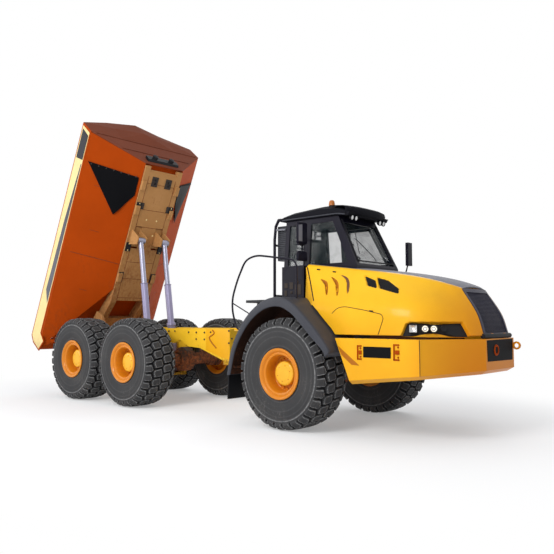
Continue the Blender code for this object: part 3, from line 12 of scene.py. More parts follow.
import bpy
import bmesh
import numpy as np
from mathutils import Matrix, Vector


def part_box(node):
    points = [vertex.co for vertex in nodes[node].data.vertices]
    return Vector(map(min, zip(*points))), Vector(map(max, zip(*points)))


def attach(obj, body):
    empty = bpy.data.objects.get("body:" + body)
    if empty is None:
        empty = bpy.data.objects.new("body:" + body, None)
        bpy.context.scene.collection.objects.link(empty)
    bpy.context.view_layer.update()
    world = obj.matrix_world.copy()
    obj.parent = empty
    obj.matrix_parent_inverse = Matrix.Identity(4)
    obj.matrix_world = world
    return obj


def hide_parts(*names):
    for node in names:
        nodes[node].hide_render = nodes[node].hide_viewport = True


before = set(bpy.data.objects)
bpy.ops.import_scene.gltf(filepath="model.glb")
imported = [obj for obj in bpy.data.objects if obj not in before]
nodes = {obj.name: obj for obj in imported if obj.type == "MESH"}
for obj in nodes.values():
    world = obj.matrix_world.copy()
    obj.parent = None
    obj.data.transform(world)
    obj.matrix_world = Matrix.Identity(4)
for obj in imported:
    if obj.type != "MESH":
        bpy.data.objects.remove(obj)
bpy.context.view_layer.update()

# %% [markdown]
# ## Where things are
#
# Lengths along the truck are easiest to read from the front axle, so a short helper turns such a
# place into the frame's own coordinates. The dump body is set out as it lies lowered, because its
# floor and rails are level then, and one turn about its hinge brings it to the raised place.

# %% Places and turns
low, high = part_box("front_right_tyre")
FRONT_AXLE = (low.x + high.x) / 2
WHEEL_RADIUS = (high.z - low.z) / 2
TIP = (-6.50, 1.45)
TIP_ANGLE = math.radians(67)


def at(points):
    """Places measured from the front axle, moved into the frame: x grows by the axle's own x."""
    return np.asarray(points, float) + np.array([FRONT_AXLE, 0.0, 0.0])


def raised(points):
    """Places on the lowered body, turned up about the hinge: a plane turn of (x, z) by the tip angle."""
    p = np.array(points, float)
    dx, dz = p[..., 0] - TIP[0], p[..., 2] - TIP[1]
    p[..., 0] = TIP[0] + dx * math.cos(TIP_ANGLE) - dz * math.sin(TIP_ANGLE)
    p[..., 2] = TIP[1] + dx * math.sin(TIP_ANGLE) + dz * math.cos(TIP_ANGLE)
    return at(p)


turned_down = (math.sin(TIP_ANGLE), 0.0, -math.cos(TIP_ANGLE))
rest_axis = (math.cos(TIP_ANGLE - 0.382), 0.0, math.sin(TIP_ANGLE - 0.382))
print("front axle at x =", round(FRONT_AXLE, 4), "wheel radius", round(WHEEL_RADIUS, 3))

# %% [markdown]
# ## Surfaces as arrays
#
# A surface here is a grid of points. Each row is one position along the first parameter and each
# column one along the second, so the faces are the same for every grid: a square joins four
# neighbours. Closing a direction only means that its last neighbour is the first again.

# %% Grids, lofts and solids
def grid_faces(rows, cols, wrap_rows=False, wrap_cols=False):
    """Squares between grid neighbours: point (i, j) has number i * cols + j."""
    i = np.arange(rows if wrap_rows else rows - 1)
    j = np.arange(cols if wrap_cols else cols - 1)
    i, j = np.meshgrid(i, j, indexing="ij")
    i2, j2 = (i + 1) % rows, (j + 1) % cols
    return np.stack([i * cols + j, i2 * cols + j, i2 * cols + j2, i * cols + j2], -1).reshape(-1, 4)


def slab_faces(rows, cols):
    """Two grids, one over the other, joined round their border into a closed slab."""
    flat = grid_faces(rows, cols)
    k = np.arange(rows * cols).reshape(rows, cols)
    loop = np.concatenate([k[0, :-1], k[:-1, -1], k[-1, :0:-1], k[:0:-1, 0]])
    after = np.roll(loop, -1)
    rim = np.stack([loop, after, after + k.size, loop + k.size], -1)
    return np.concatenate([flat[:, ::-1], flat + k.size, rim])


def slab(low, high):
    """Closed slab between two grids of the same shape."""
    return np.concatenate([low, high]).reshape(-1, 3), slab_faces(*low.shape[:2])


def capped(rings):
    """Rings of points joined one to the next, with a flat face over each end."""
    rings = np.asarray(rings, float)
    rows, cols = rings.shape[:2]
    faces = grid_faces(rows, cols, wrap_cols=True).tolist()
    faces += [tuple(range(cols))[::-1], tuple(range((rows - 1) * cols, rows * cols))]
    return rings.reshape(-1, 3), faces


print("a grid of 3 by 4 points has", len(grid_faces(3, 4)), "faces")


# %% Pieces made from shapes
def joined(shapes):
    """Several (points, faces) put into one: each shape's face numbers grow by the points before it."""
    points, faces, count = [], [], 0
    for p, f in shapes:
        p = np.asarray(p, float).reshape(-1, 3)
        points.append(p)
        faces += [tuple(k + count for k in face) for face in (f.tolist() if hasattr(f, "tolist") else f)]
        count += len(p)
    return np.concatenate(points), faces


def piece(name, shapes, body, material, angle=35, stands_for=(), solid=True, wall=0.0):
    """Makes one object from shapes, shaded smooth up to an angle, riding on its body. A sheet can get a
    wall on its inner side, and its normals stay as they are."""
    points, faces = joined(shapes)
    mesh = bpy.data.meshes.new(name)
    mesh.from_pydata(points.tolist(), [], faces)
    if solid and not wall:
        work = bmesh.new()
        work.from_mesh(mesh)
        bmesh.ops.recalc_face_normals(work, faces=work.faces)
        work.to_mesh(mesh)
        work.free()
    mesh.shade_smooth()
    mesh.set_sharp_from_angle(angle=math.radians(angle))
    thing = bpy.data.objects.new(name, mesh)
    bpy.context.scene.collection.objects.link(thing)
    mesh.materials.append(material)
    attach(thing, body)
    if stands_for:
        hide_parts(*stands_for)
    if wall:
        thicker = thing.modifiers.new("wall", "SOLIDIFY")
        thicker.thickness, thicker.offset = wall, -1.0
    return thing


# %% Curves and tubes
def curve(points, t):
    """Point at each t on a smooth curve: a cubic between two points, its slopes half the step across."""
    p = np.asarray(points, float)
    q = np.concatenate([2 * p[:1] - p[1:2], p, 2 * p[-1:] - p[-2:-1]])
    k = np.clip(np.floor(t).astype(int), 0, len(p) - 2)
    u = (t - k)[..., None]
    a, b, c, d = q[k], q[k + 1], q[k + 2], q[k + 3]
    return 0.5 * (2 * b + (c - a) * u + (2 * a - 5 * b + 4 * c - d) * u ** 2
                  + (3 * b - a - 3 * c + d) * u ** 3)


def spline(points, count):
    """Evenly stepped places on the smooth curve through points."""
    return curve(points, np.linspace(0, len(points) - 1, count))


def off_axis(axis):
    """Direction to start a ring from: upward, unless the axis itself runs upward."""
    return np.array([0.0, 0.0, 1.0]) if abs(axis[2]) < 0.9 else np.array([1.0, 0.0, 0.0])


def tube(path, radius, sides=12):
    """Ring of points carried along a path: at each point the ring lies across the path's direction."""
    p = np.asarray(path, float)
    along = np.gradient(p, axis=0)
    along /= np.linalg.norm(along, axis=1)[:, None]
    across = np.zeros_like(p)
    start = off_axis(along[0])
    for k in range(len(p)):
        start = start - along[k] * start.dot(along[k])
        start /= np.linalg.norm(start)
        across[k] = start
    up = np.cross(along, across)
    turn = np.linspace(0, 2 * np.pi, sides, endpoint=False)
    r = np.broadcast_to(np.asarray(radius, float), (len(p),))[:, None, None]
    return capped(p[:, None] + r * (np.cos(turn)[None, :, None] * across[:, None]
                                    + np.sin(turn)[None, :, None] * up[:, None]))


def rounded_path(points, radius=0.06, steps=5):
    """Path with its corners turned into short curves: points near a corner slide along a quarter blend."""
    p = np.asarray(points, float)
    out = [p[0]]
    for a, b, c in zip(p[:-2], p[1:-1], p[2:]):
        reach = min(radius, np.linalg.norm(a - b) / 2.2, np.linalg.norm(c - b) / 2.2)
        first = b + (a - b) / np.linalg.norm(a - b) * reach
        last = b + (c - b) / np.linalg.norm(c - b) * reach
        for t in np.linspace(0, 1, steps):
            out.append((1 - t) ** 2 * first + 2 * t * (1 - t) * b + t ** 2 * last)
    out.append(p[-1])
    return np.array(out)


print("corner of a rounded path:", rounded_path([(0, 0), (1, 0), (1, 1)])[3].round(3))


# %% Turned shapes, blocks and plates
def lathe(profile, centre, axis, steps=64, first=0.0):
    """Profile of (radius, along) turned about an axis: x = r cos a, z = r sin a, and along as it is."""
    prof = np.asarray(profile, float)
    axis = np.asarray(axis, float) / np.linalg.norm(axis)
    start = off_axis(axis)
    across = start - axis * start.dot(axis)
    across /= np.linalg.norm(across)
    up = np.cross(axis, across)
    a = np.linspace(0, 2 * np.pi, steps, endpoint=False) + first
    ring = np.cos(a)[:, None] * across + np.sin(a)[:, None] * up
    points = (np.asarray(centre) + prof[None, :, 1:2] * axis + prof[None, :, 0:1] * ring[:, None])
    return points.reshape(-1, 3), grid_faces(steps, len(prof), wrap_rows=True)


def block(low, high, round_by=0.006):
    """Box with its twelve edges cut back: an eight-cornered plan at four heights."""
    low, high = np.asarray(low, float), np.asarray(high, float)
    r = min(round_by, *(0.45 * (high - low)))
    x0, y0, z0 = low
    x1, y1, z1 = high

    rings = []
    for z, i in ((z0, r * 0.7), (z0 + r, 0), (z1 - r, 0), (z1, r * 0.7)):
        rings.append([(x0 + i + r, y0 + i, z), (x1 - i - r, y0 + i, z), (x1 - i, y0 + i + r, z),
                      (x1 - i, y1 - i - r, z), (x1 - i - r, y1 - i, z), (x0 + i + r, y1 - i, z),
                      (x0 + i, y1 - i - r, z), (x0 + i, y0 + i + r, z)])
    return capped(rings)


def placed(shape, change=at):
    """Shape with its points put through a function, such as the move from axle places to the frame."""
    return change(shape[0]), shape[1]


def box_between(xs, ys, zs, round_by=0.006, change=at):
    """Block between two places on each axis, given in either order."""
    low, high = np.sort([xs, ys, zs], axis=1).T
    return placed(block(low, high, round_by), change)


def rectangle(x0, x1, z0, z1):
    """Four corners between two places along and two heights."""
    return [(x0, z0), (x1, z0), (x1, z1), (x0, z1)]


def stud(spot, axis, high, wide, steps, rim=0.006):
    """Low round bolt head with a sloping rim."""
    return lathe([(0, high), (wide - rim, high - 0.002), (wide, 0)], spot, axis, steps)


def extruded(outline, low, high, axis=1, chamfer=0.004):
    """Flat outline pushed along an axis, its rim drawn in a little at both ends."""
    o = np.asarray(outline, float)
    centre = o.mean(axis=0)
    size = np.linalg.norm(o - centre, axis=1, keepdims=True)
    small = centre + (o - centre) * (1 - np.minimum(chamfer * 1.5 / size, 0.4))
    step = chamfer if high > low else -chamfer
    levels = ((small, low), (o, low + step), (o, high - step), (small, high))
    return capped([np.insert(flat, axis, level, axis=1) for flat, level in levels])


print("surface helpers ready")

# %% [markdown]
# ## Weathering
#
# Mud, dust and worn paint turn up on almost every piece, so they are one shader group. It mixes a
# paint colour with a dirt colour. The dirt is thickest low down and is broken up by two noises of
# different size. The paint also turns toward the dirt colour low down, and toward the nose as a
# painted shade. The group only puts out colours and values, and each material feeds them to its own
# Principled shader.

# %% Small helpers for nodes
def feed(tree, node, inputs):
    """Sets a node's numbered or named inputs, or links those whose value is a socket."""
    for key, value in dict(inputs).items():
        if isinstance(value, bpy.types.NodeSocket):
            tree.links.new(value, node.inputs[key])
        else:
            node.inputs[key].default_value = value


def put(tree, kind, inputs=(), **settings):
    """Adds a node with its settings and its inputs."""
    made = tree.nodes.new(kind)
    for key, value in settings.items():
        setattr(made, key, value)
    feed(tree, made, inputs)
    return made


def object_place(tree):
    """Places in the object's own frame, so that dirt rides with its body."""
    return put(tree, "ShaderNodeTexCoord").outputs["Object"]


def noise(tree, place, scale, detail=2.0, roughness=0.5):
    """Value of a fractal noise at a place."""
    return put(tree, "ShaderNodeTexNoise",
               {"Vector": place, "Scale": scale, "Detail": detail, "Roughness": roughness}).outputs[0]


def mix_colour(tree, factor, a, b):
    """Colour a at factor 0 and b at factor 1."""
    return put(tree, "ShaderNodeMix", {0: factor, 6: a, 7: b}, data_type="RGBA", clamp_factor=True).outputs[2]


def sums(tree, operation, a, b=0.0, clamp=False):
    """Result of one named operation on two values."""
    return put(tree, "ShaderNodeMath", {0: a, 1: b}, operation=operation, use_clamp=clamp).outputs[0]


def ramp(tree, value, low, high, to_low=0.0, to_high=1.0, shape="SMOOTHSTEP"):
    """Value carried from one range to another and held at its ends, by a cubic step or a line."""
    return put(tree, "ShaderNodeMapRange", {0: value, 1: low, 2: high, 3: to_low, 4: to_high},
               clamp=True, interpolation_type=shape).outputs[0]


print("node helpers ready")


# %% Shader group for dirt and wear
def weathering_group():
    """Mud is a sum of lowness, two noises and drips, over paint that is faded, turned toward the dirt colour
    low down and darkened toward the nose as a painted shade.
    """
    group = bpy.data.node_groups.new("weathering", "ShaderNodeTree")
    colour_kind, number_kind = "NodeSocketColor", "NodeSocketFloat"
    for name, value in (("Paint", (0.8, 0.4, 0.02, 1)), ("Dirt", (0.16, 0.08, 0.04, 1)), ("Amount", 0.4),
                        ("Low", 0.5), ("High", 2.5), ("Size", 1.0), ("Gloss", 0.4), ("Fade", 0.15),
                        ("Tint", 0.0), ("NoseShade", 0.0)):
        kind = colour_kind if isinstance(value, tuple) else number_kind
        group.interface.new_socket(name, in_out="INPUT", socket_type=kind).default_value = value
    for name, kind in (("Color", colour_kind), ("Roughness", number_kind), ("Height", number_kind)):
        group.interface.new_socket(name, in_out="OUTPUT", socket_type=kind)

    def times(a, b, clamp=False):
        return sums(group, "MULTIPLY", a, b, clamp)

    def plus(a, b, clamp=False):
        return sums(group, "ADD", a, b, clamp)

    def toned(colour, value):
        return put(group, "ShaderNodeHueSaturation", {"Color": colour, "Value": value}).outputs[0]

    given = group.nodes.new("NodeGroupInput").outputs
    place = object_place(group)
    apart = put(group, "ShaderNodeSeparateXYZ", {0: place}).outputs
    broad = noise(group, place, 1.3, 6.0, 0.62)
    fine = noise(group, place, times(14.0, given["Size"]), 8.0, 0.7)
    speck = noise(group, place, 170.0, 3.0)
    drawn_out = put(group, "ShaderNodeMapping", {"Vector": place, "Scale": (9.0, 9.0, 0.7)}).outputs[0]
    drips = noise(group, drawn_out, 2.2, 5.0)
    down = ramp(group, apart["Z"], given["Low"], given["High"], 1.0, 0.0, "LINEAR")
    patch = plus(times(times(broad, fine), 1.9), times(drips, 0.55))
    thick = plus(plus(times(down, 0.75), sums(group, "SUBTRACT", patch, 0.86)), given["Amount"])
    mask = ramp(group, thick, 0.38, 0.95)
    faded = times(given["Fade"], sums(group, "SUBTRACT", broad, 0.35), True)
    paint = mix_colour(group, faded, given["Paint"], (0.62, 0.52, 0.38, 1))
    paint = toned(paint, ramp(group, broad, 0.25, 0.75, 0.92, 1.05))
    # Painted shade: toward the nose the paint turns to the dirt colour, because the nose faces away from the
    # light.
    ahead = times(ramp(group, apart["X"], 4.6, 5.55), given["NoseShade"])
    low_tint_and_nose_shade = plus(times(down, given["Tint"]), ahead, True)
    paint = mix_colour(group, low_tint_and_nose_shade, paint, given["Dirt"])
    dirt = toned(given["Dirt"], ramp(group, fine, 0.25, 0.75, 0.6, 1.7))
    rough = plus(plus(given["Gloss"], times(mask, 0.4)), times(fine, 0.12), True)
    feed(group, group.nodes.new("NodeGroupOutput"), {
        "Color": mix_colour(group, mask, paint, dirt), "Roughness": rough,
        "Height": plus(times(mask, fine), times(speck, 0.06))})
    return group


WEATHERING = weathering_group()
print("group sockets:", len(WEATHERING.interface.items_tree))

# %% [markdown]
# ## Finishes
#
# Painted steel is the group above on a Principled shader, with a thin clear coat on the cleaner
# paints. A Bevel node rounds the normals at the sheet metal's corners, so that they catch the light
# as real folded plate does.

# %% Painted and moulded finishes
def blank(name):
    """New material with its node tree and its Principled shader."""
    made = bpy.data.materials.new(name)
    made.use_nodes = True
    return made, made.node_tree, made.node_tree.nodes["Principled BSDF"]


def finish(name, colour, gloss=0.38, amount=0.0, dirt=(0.13, 0.07, 0.035), span=(0.5, 2.6), size=1.0,
           metal=0.0, coat=0.0, fade=0.15, bump=0.25, corner=0.006, sheen=0.0, shine=0.22, tint=0.0,
           nose=0.0):
    """Weathered paint: amount and span set how much dirt lies up to what height; tint turns the paint toward
    the dirt colour low down, and nose adds a painted shade toward the nose.
    """
    made, tree, shader = blank(name)
    group = put(tree, "ShaderNodeGroup", node_tree=WEATHERING)
    given = group.outputs
    feed(tree, group, {"Paint": (*colour, 1), "Dirt": (*dirt, 1), "Amount": amount, "Low": span[0],
                       "High": span[1], "Size": size, "Gloss": gloss, "Fade": fade, "Tint": tint,
                       "NoseShade": nose})
    relief = put(tree, "ShaderNodeBump", {"Strength": bump, "Distance": 0.01, "Height": given["Height"]})
    if corner:
        feed(tree, relief, {"Normal": put(tree, "ShaderNodeBevel", {"Radius": corner}, samples=4).outputs[0]})
    feed(tree, shader, {"Base Color": given["Color"], "Roughness": given["Roughness"],
                        "Normal": relief.outputs[0], "Metallic": metal, "Specular IOR Level": shine,
                        "Coat Weight": coat, "Coat Roughness": 0.12, "Sheen Weight": sheen})
    return made


print("finish takes its dirt from", WEATHERING.name)

# %% Paints, plastics and cast metal of this truck
# The amber paint's dirt colour is the orange that its low tint turns toward and that its nose value paints as
# shade.
YELLOW = finish("amber_paint", (0.87, 0.47, 0.016), 0.30, -0.36, (0.60, 0.18, 0.003), (0.7, 2.5), coat=0.12,
                fade=0.0, tint=0.42, shine=0.10, nose=0.62)
RIM_PAINT = finish("rim_paint", (0.62, 0.20, 0.006), 0.36, -0.16, (0.16, 0.045, 0.01), (0.0, 2.9), 2.0,
                   coat=0.2, fade=0.02)
HUB_PAINT = finish("hub_paint", (0.80, 0.42, 0.02), 0.34, -0.24, (0.30, 0.09, 0.01), (0.0, 2.9), 2.0,
                   coat=0.2, fade=0.03)
RAIL_PAINT = finish("rail_paint", (0.86, 0.50, 0.02), 0.4, 0.10, (0.14, 0.045, 0.018), (0.9, 1.62), 1.6,
                    fade=0.02)
BODY_ORANGE = finish("body_orange", (0.37, 0.048, 0.0015), 0.5, -0.15, (0.17, 0.030, 0.006), (1.2, 9.0), 0.7,
                     fade=0.0, shine=0.04)
BODY_TAN = finish("body_tan", (0.46, 0.225, 0.075), 0.55, 0.02, (0.21, 0.075, 0.025), (1.5, 8.0), 1.2,
                  fade=0.12, shine=0.12)
BODY_BROWN = finish("body_brown", (0.17, 0.045, 0.022), 0.6, -0.04, (0.085, 0.022, 0.02), (2.0, 8.0), 0.8,
                    fade=0.0, shine=0.08)
CREAM = finish("cream_strip", (0.80, 0.62, 0.28), 0.5, -0.3, (0.5, 0.30, 0.10), (1.0, 8.0), fade=0.1)
STRIPE = finish("grey_stripe", (0.10, 0.10, 0.12), 0.5, -0.3, fade=0.05)
MUD_STEEL = finish("muddy_steel", (0.040, 0.030, 0.025), 0.6, 0.22, (0.22, 0.070, 0.026), (0.5, 2.2), 1.5,
                   bump=0.5, fade=0.02)
PLASTIC = finish("fender_plastic", (0.040, 0.042, 0.052), 0.42, -0.26, (0.20, 0.19, 0.20), (0.2, 3.4), 2.4,
                 bump=0.3, fade=0.03)
LINER = finish("fender_liner", (0.035, 0.012, 0.006), 0.8, 0.1, (0.09, 0.032, 0.014), (0.4, 2.6), 2.0,
               bump=0.6, fade=0.02)
BLACK = finish("cab_black", (0.007, 0.006, 0.013), 0.34, -0.37, (0.12, 0.11, 0.12), (1.5, 4.6), coat=0.10,
               fade=0.0, shine=0.12)
DARK = finish("dark_trim", (0.008, 0.008, 0.010), 0.55, -0.36, fade=0.01)
SILVER = finish("silver_top", (0.20, 0.20, 0.225), 0.62, -0.22, (0.27, 0.25, 0.21), (1.0, 3.6), 1.5,
                fade=0.08, shine=0.08)
GUARD = finish("mudguard_rubber", (0.003, 0.003, 0.004), 0.45, -0.30, (0.05, 0.045, 0.04), (0.0, 9.0),
               fade=0.0, shine=0.05)
ROOF = finish("roof_skin", (0.010, 0.010, 0.013), 0.5, -0.34, (0.05, 0.05, 0.05), (1.5, 4.6), fade=0.0,
              shine=0.03)
PLATE = finish("plate_black", (0.006, 0.006, 0.007), 0.5, -0.36, fade=0.0, shine=0.05)
BARREL = finish("muddy_barrel", (0.20, 0.18, 0.26), 0.4, 0.22, (0.10, 0.04, 0.02), (0.9, 2.0), fade=0.02)
FLAP = finish("flap_rubber", (0.007, 0.007, 0.009), 0.38, -0.32, (0.10, 0.09, 0.085), (0.0, 9.0), fade=0.01)
HOIST = finish("hoist_paint", (0.30, 0.28, 0.42), 0.3, -0.30, (0.16, 0.12, 0.11), (0.3, 4.5), metal=0.25,
               fade=0.05)
RUST = finish("brown_cast", (0.15, 0.060, 0.030), 0.7, 0.1, (0.26, 0.10, 0.040), (0.5, 3.0), 2.0, fade=0.02)
CLOTH = finish("seat_cloth", (0.020, 0.030, 0.030), 0.9, -0.3, sheen=0.3, corner=0.02, fade=0.02)
DECK = finish("deck_plate", (0.030, 0.031, 0.034), 0.5, -0.12, (0.13, 0.08, 0.05), (1.2, 2.9), 1.5, metal=0.2,
              fade=0.02)
SEAM_BROWN = finish("seam_brown", (0.16, 0.035, 0.008), 0.6, -0.2, (0.10, 0.03, 0.01), (1.2, 8.0), fade=0.0)
# Dark orange that paints shade in the scoops and in the bumper's dent, and colours the rear rails' folds.
SHADE_AND_FOLD_PAINT = finish("shade_and_fold_paint", (0.40, 0.125, 0.004), 0.42, -0.22, (0.20, 0.05, 0.01), (0.8, 1.9), 1.5,
                     fade=0.0)
AMBER = finish("amber_lens", (0.42, 0.13, 0.02), 0.2, -0.4, corner=0.0)
GRILLE_BLACK = finish("grille_black", (0.026, 0.026, 0.052), 0.38, -0.36, (0.1, 0.09, 0.1), corner=0.0)
print("finishes so far:", len(bpy.data.materials))


# %% [markdown]
# ## Rubber, glass and bright metal
#
# Tyre rubber is pale where the ground rubs it, and its grooves are darkened as a painted shade. That
# could be painted by hand, but the tread's formula already knows its edges, so it hands them over as a
# value on each point.
# Glass and lenses carry a little dust in their alpha, and bare metal is duller in patches.

# %% Rubber, glass, chrome and lamps
def rubber():
    """Dusty rubber: the tyre's own value pales the blocks' worn edges and darkens the grooves as a painted
    shade.
    """
    made = finish("tyre_rubber", (0.034, 0.034, 0.036), 0.66, -0.02, (0.110, 0.103, 0.098), (-0.5, 2.4), 2.6,
                  fade=0.04, bump=0.35, corner=0.0)
    tree = made.node_tree
    shader = tree.nodes["Principled BSDF"]
    base = shader.inputs["Base Color"].links[0].from_socket
    wear_and_groove_shade = put(tree, "ShaderNodeAttribute", attribute_name="wear_and_groove_shade").outputs["Fac"]
    uneven = ramp(tree, noise(tree, object_place(tree), 26.0, 5.0), 0.3, 0.7, 0.35, 1.0)
    rub = sums(tree, "MULTIPLY", ramp(tree, wear_and_groove_shade, 0.5, 1.0), uneven)
    pale = mix_colour(tree, rub, base, (0.25, 0.25, 0.25, 1))
    # Painted shade: the grooves turn almost black.
    groove = ramp(tree, wear_and_groove_shade, 0.0, 0.45, 0.95, 0.0)
    feed(tree, shader, {"Base Color": mix_colour(tree, groove, pale, (0.004, 0.004, 0.005, 1))})
    return made


def clear(name, tint, alpha, rough=0.03):
    """Glass or a clear lens with a little dust: alpha rises where the noise is strong."""
    made, tree, shader = blank(name)
    dust = noise(tree, object_place(tree), 5.0, 5.0)
    colour = mix_colour(tree, ramp(tree, dust, 0.35, 0.8, 0.0, 0.25), (*tint, 1), (0.35, 0.36, 0.34, 1))
    cover = ramp(tree, dust, 0.4, 0.8, alpha, min(1.0, alpha + 0.12))
    feed(tree, shader, {"Base Color": colour, "Alpha": cover, "Roughness": rough, "IOR": 1.5})
    return made


def metal(name, colour, rough):
    """Bare metal, darker and duller in patches."""
    made, tree, shader = blank(name)
    patch = noise(tree, object_place(tree), 40.0, 5.0)
    darker = (*(c * 0.55 for c in colour), 1)
    mottled = mix_colour(tree, ramp(tree, patch, 0.45, 0.8, 0.0, 0.4), (*colour, 1), darker)
    feed(tree, shader, {"Base Color": mottled, "Roughness": ramp(tree, patch, 0.3, 0.8, rough, rough + 0.18),
                        "Metallic": 1.0})
    return made


def glowing(name, colour, strength):
    """Bulb whose colour pales toward white by a fine noise."""
    made, tree, shader = blank(name)
    warm = mix_colour(tree, noise(tree, object_place(tree), 60.0), (*colour, 1), (1, 1, 1, 1))
    feed(tree, shader, {"Base Color": warm, "Emission Color": warm, "Emission Strength": strength})
    return made


print("three kinds of finish without paint")

# %% Finishes made, and the slot that each one fills
TYRE = rubber()
GLASS = clear("tinted_glass", (0.012, 0.022, 0.026), 0.26)
LENS = clear("clear_lens", (0.75, 0.78, 0.82), 0.14)
CHROME = metal("rod_chrome", (0.30, 0.30, 0.38), 0.34)
REFLECTOR = metal("lamp_reflector", (0.55, 0.55, 0.55), 0.14)
MIRROR = metal("mirror_face", (0.7, 0.72, 0.75), 0.05)
BULB = glowing("lamp_bulb", (1.0, 0.80, 0.35), 2.0)
print("finishes:", len(bpy.data.materials))

# %% [markdown]
# ## Tyres
#
# A hauler's tyre is a smooth carcass with heavy blocks moulded on it, six-sided in the middle and
# drawn out into lugs on the shoulders. The surface is a grid: one parameter runs round the wheel, the
# other along the section from bead to bead. Block centres stand in four staggered rows, and a groove
# runs wherever two centres are equally near, so the six-sided blocks come out of one formula.

# %% The tread formula
LUGS = 30
PITCH_STEPS = 15
HALF_WIDTH = 0.375
TREAD_RADIUS = WHEEL_RADIUS - 0.052
CARCASS = [(0.357, 0.290), (0.385, 0.315), (0.43, 0.329), (0.452, 0.338), (0.465, 0.333), (0.53, 0.352),
           (0.62, 0.3635), (0.700, 0.360), (0.742, 0.352), (0.752, 0.360), (0.772, 0.360), (0.782, 0.348),
           (0.82, 0.335), (0.845, 0.300), (0.860, 0.240), (TREAD_RADIUS, 0.15), (TREAD_RADIUS + 0.003, 0.0)]
LUG_FOOT = (0.785, 0.815)
SHOULDER_RADIUS = 0.845
SHOULDER_LUG, CROWN_LUG = 0.034, 0.050
PALE_RINGS = ((0.762, 0.011, 0.9), (0.46, 0.008, 0.4), (0.60, 0.007, 0.32), (0.69, 0.012, 0.22))
BLOCK_ROWS = ((-0.330, 0.0), (-0.118, 0.5), (0.118, 0.0), (0.330, 0.5))


def smooth(x, low, high):
    """Cubic step from 0 below low to 1 above high."""
    t = np.clip((x - low) / (high - low), 0, 1)
    return t * t * (3 - 2 * t)


def tread(turns, s):
    """Height and worn edge of the blocks. The way to a groove is the difference of the squared ways to
    the two nearest block centres, over twice the way between those centres."""
    pitch = 2 * np.pi * WHEEL_RADIUS / LUGS
    ways, centres = [], []
    for across, lag in BLOCK_ROWS:
        for step in (-1, 0, 1):
            along = (np.round(turns - lag) + lag + step) * pitch
            place = np.broadcast_to(across, along.shape)
            off, ahead = s - place, turns * pitch - along
            ways.append(off ** 2 * 0.82 + ahead * (ahead + 0.32 * off))
            centres.append(np.stack([place * 0.905, along], -1))
    ways, centres = np.array(ways), np.array(centres)
    order = np.argsort(ways, axis=0)[:2]
    first, second = np.take_along_axis(ways, order, 0)
    near, next_one = np.take_along_axis(centres, order[..., None], 0)
    gap = (second - first) / (2 * np.linalg.norm(next_one - near, axis=-1))
    wide = 0.0125 + 0.005 * smooth(np.abs(s), 0.18, 0.34)
    up = smooth(gap, wide, wide + 0.011)
    edge = np.exp(-((gap - wide - 0.016) / 0.008) ** 2) * (up > 0.4)
    return up, edge


print("blocks on a tyre:", LUGS * len(BLOCK_ROWS))


# %% Tyre from its section
def tyre(centre, side):
    """Grid of section points turned round the axle, each pushed out along the section's normal by a block."""
    half = np.asarray(CARCASS)
    fine = spline(np.concatenate([half, (half * (1, -1))[-2::-1]]), 400)
    length = np.concatenate([[0], np.cumsum(np.linalg.norm(np.diff(fine, axis=0), axis=1))])
    keep = np.interp(np.linspace(0, 1, 88), [0, 0.20, 0.80, 1], [0, 0.23, 0.77, 1]) * length[-1]
    fine = np.stack([np.interp(keep, length, fine[:, k]) for k in (0, 1)], 1)
    slope = np.gradient(fine, axis=0)
    normal = np.stack([-slope[:, 1], slope[:, 0]], 1)
    normal /= np.linalg.norm(normal, axis=1)[:, None]
    normal *= np.sign((normal * (fine - (0.6, 0.0))).sum(1))[:, None]
    steps = LUGS * PITCH_STEPS
    turn = np.arange(steps)[:, None] / PITCH_STEPS + np.zeros((1, len(fine)))
    r, s = fine[None, :, 0], fine[None, :, 1]
    wrapped = s + np.sign(s) * np.clip(0.86 - r, 0, 1) * 0.8
    up, edge = tread(turn, wrapped + 0 * turn)
    reach = smooth(r, *LUG_FOOT)
    lift = np.where(r < SHOULDER_RADIUS, SHOULDER_LUG, CROWN_LUG) * up * reach
    radius = np.minimum(r + lift * normal[None, :, 0], WHEEL_RADIUS)
    along = np.clip(s + lift * normal[None, :, 1], -HALF_WIDTH, HALF_WIDTH)
    a = turn / LUGS * 2 * np.pi
    points = np.stack([centre[0] + radius * np.cos(a), centre[1] + along * side,
                       centre[2] + radius * np.sin(a)], -1)
    ring = 0 * radius
    for middle, wide, strength in PALE_RINGS:
        ring = ring + np.exp(-((r - middle) / wide) ** 2) * strength
    # Value for the rubber: low in the grooves for a painted shade, high on the blocks' worn edges and on the
    # pale rings.
    shade = np.where(reach > 0.3, 0.5 * up, 0.5) + 0.5 * np.maximum(edge * reach, ring)
    return points, grid_faces(steps, len(fine), wrap_rows=True), shade.reshape(-1)


# %% Six tyres on their rims
SIDES = (("right", -1), ("left", 1))


WHEELS = [(f"{place}_{side_name}", side) for place in ("front", "mid", "rear") for side_name, side in SIDES]


def wheel_centre(wheel):
    """Middle of the wheel's solid tyre."""
    low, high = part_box(wheel + "_tyre")
    return (np.array(low) + np.array(high)) / 2


for wheel, side in WHEELS:
    points, faces, wear_and_groove_shade = tyre(wheel_centre(wheel), side)
    made = piece(f"{wheel}_lugged_tyre", [(points, faces)], f"{wheel}_wheel", TYRE, angle=40,
                 stands_for=[f"{wheel}_tyre"])
    mark = made.data.attributes.new("wear_and_groove_shade", "FLOAT", "POINT")
    mark.data.foreach_set("value", wear_and_groove_shade.astype(np.float32))
print("tyre points each:", points.size // 3)

# %% [markdown]
# ## Rims
#
# Each rim is one turned profile: the flange that holds the bead, a lock ring and the deep dish. The
# hub that stands out of it is a second one. The nuts round the hub's foot are real hexagons.

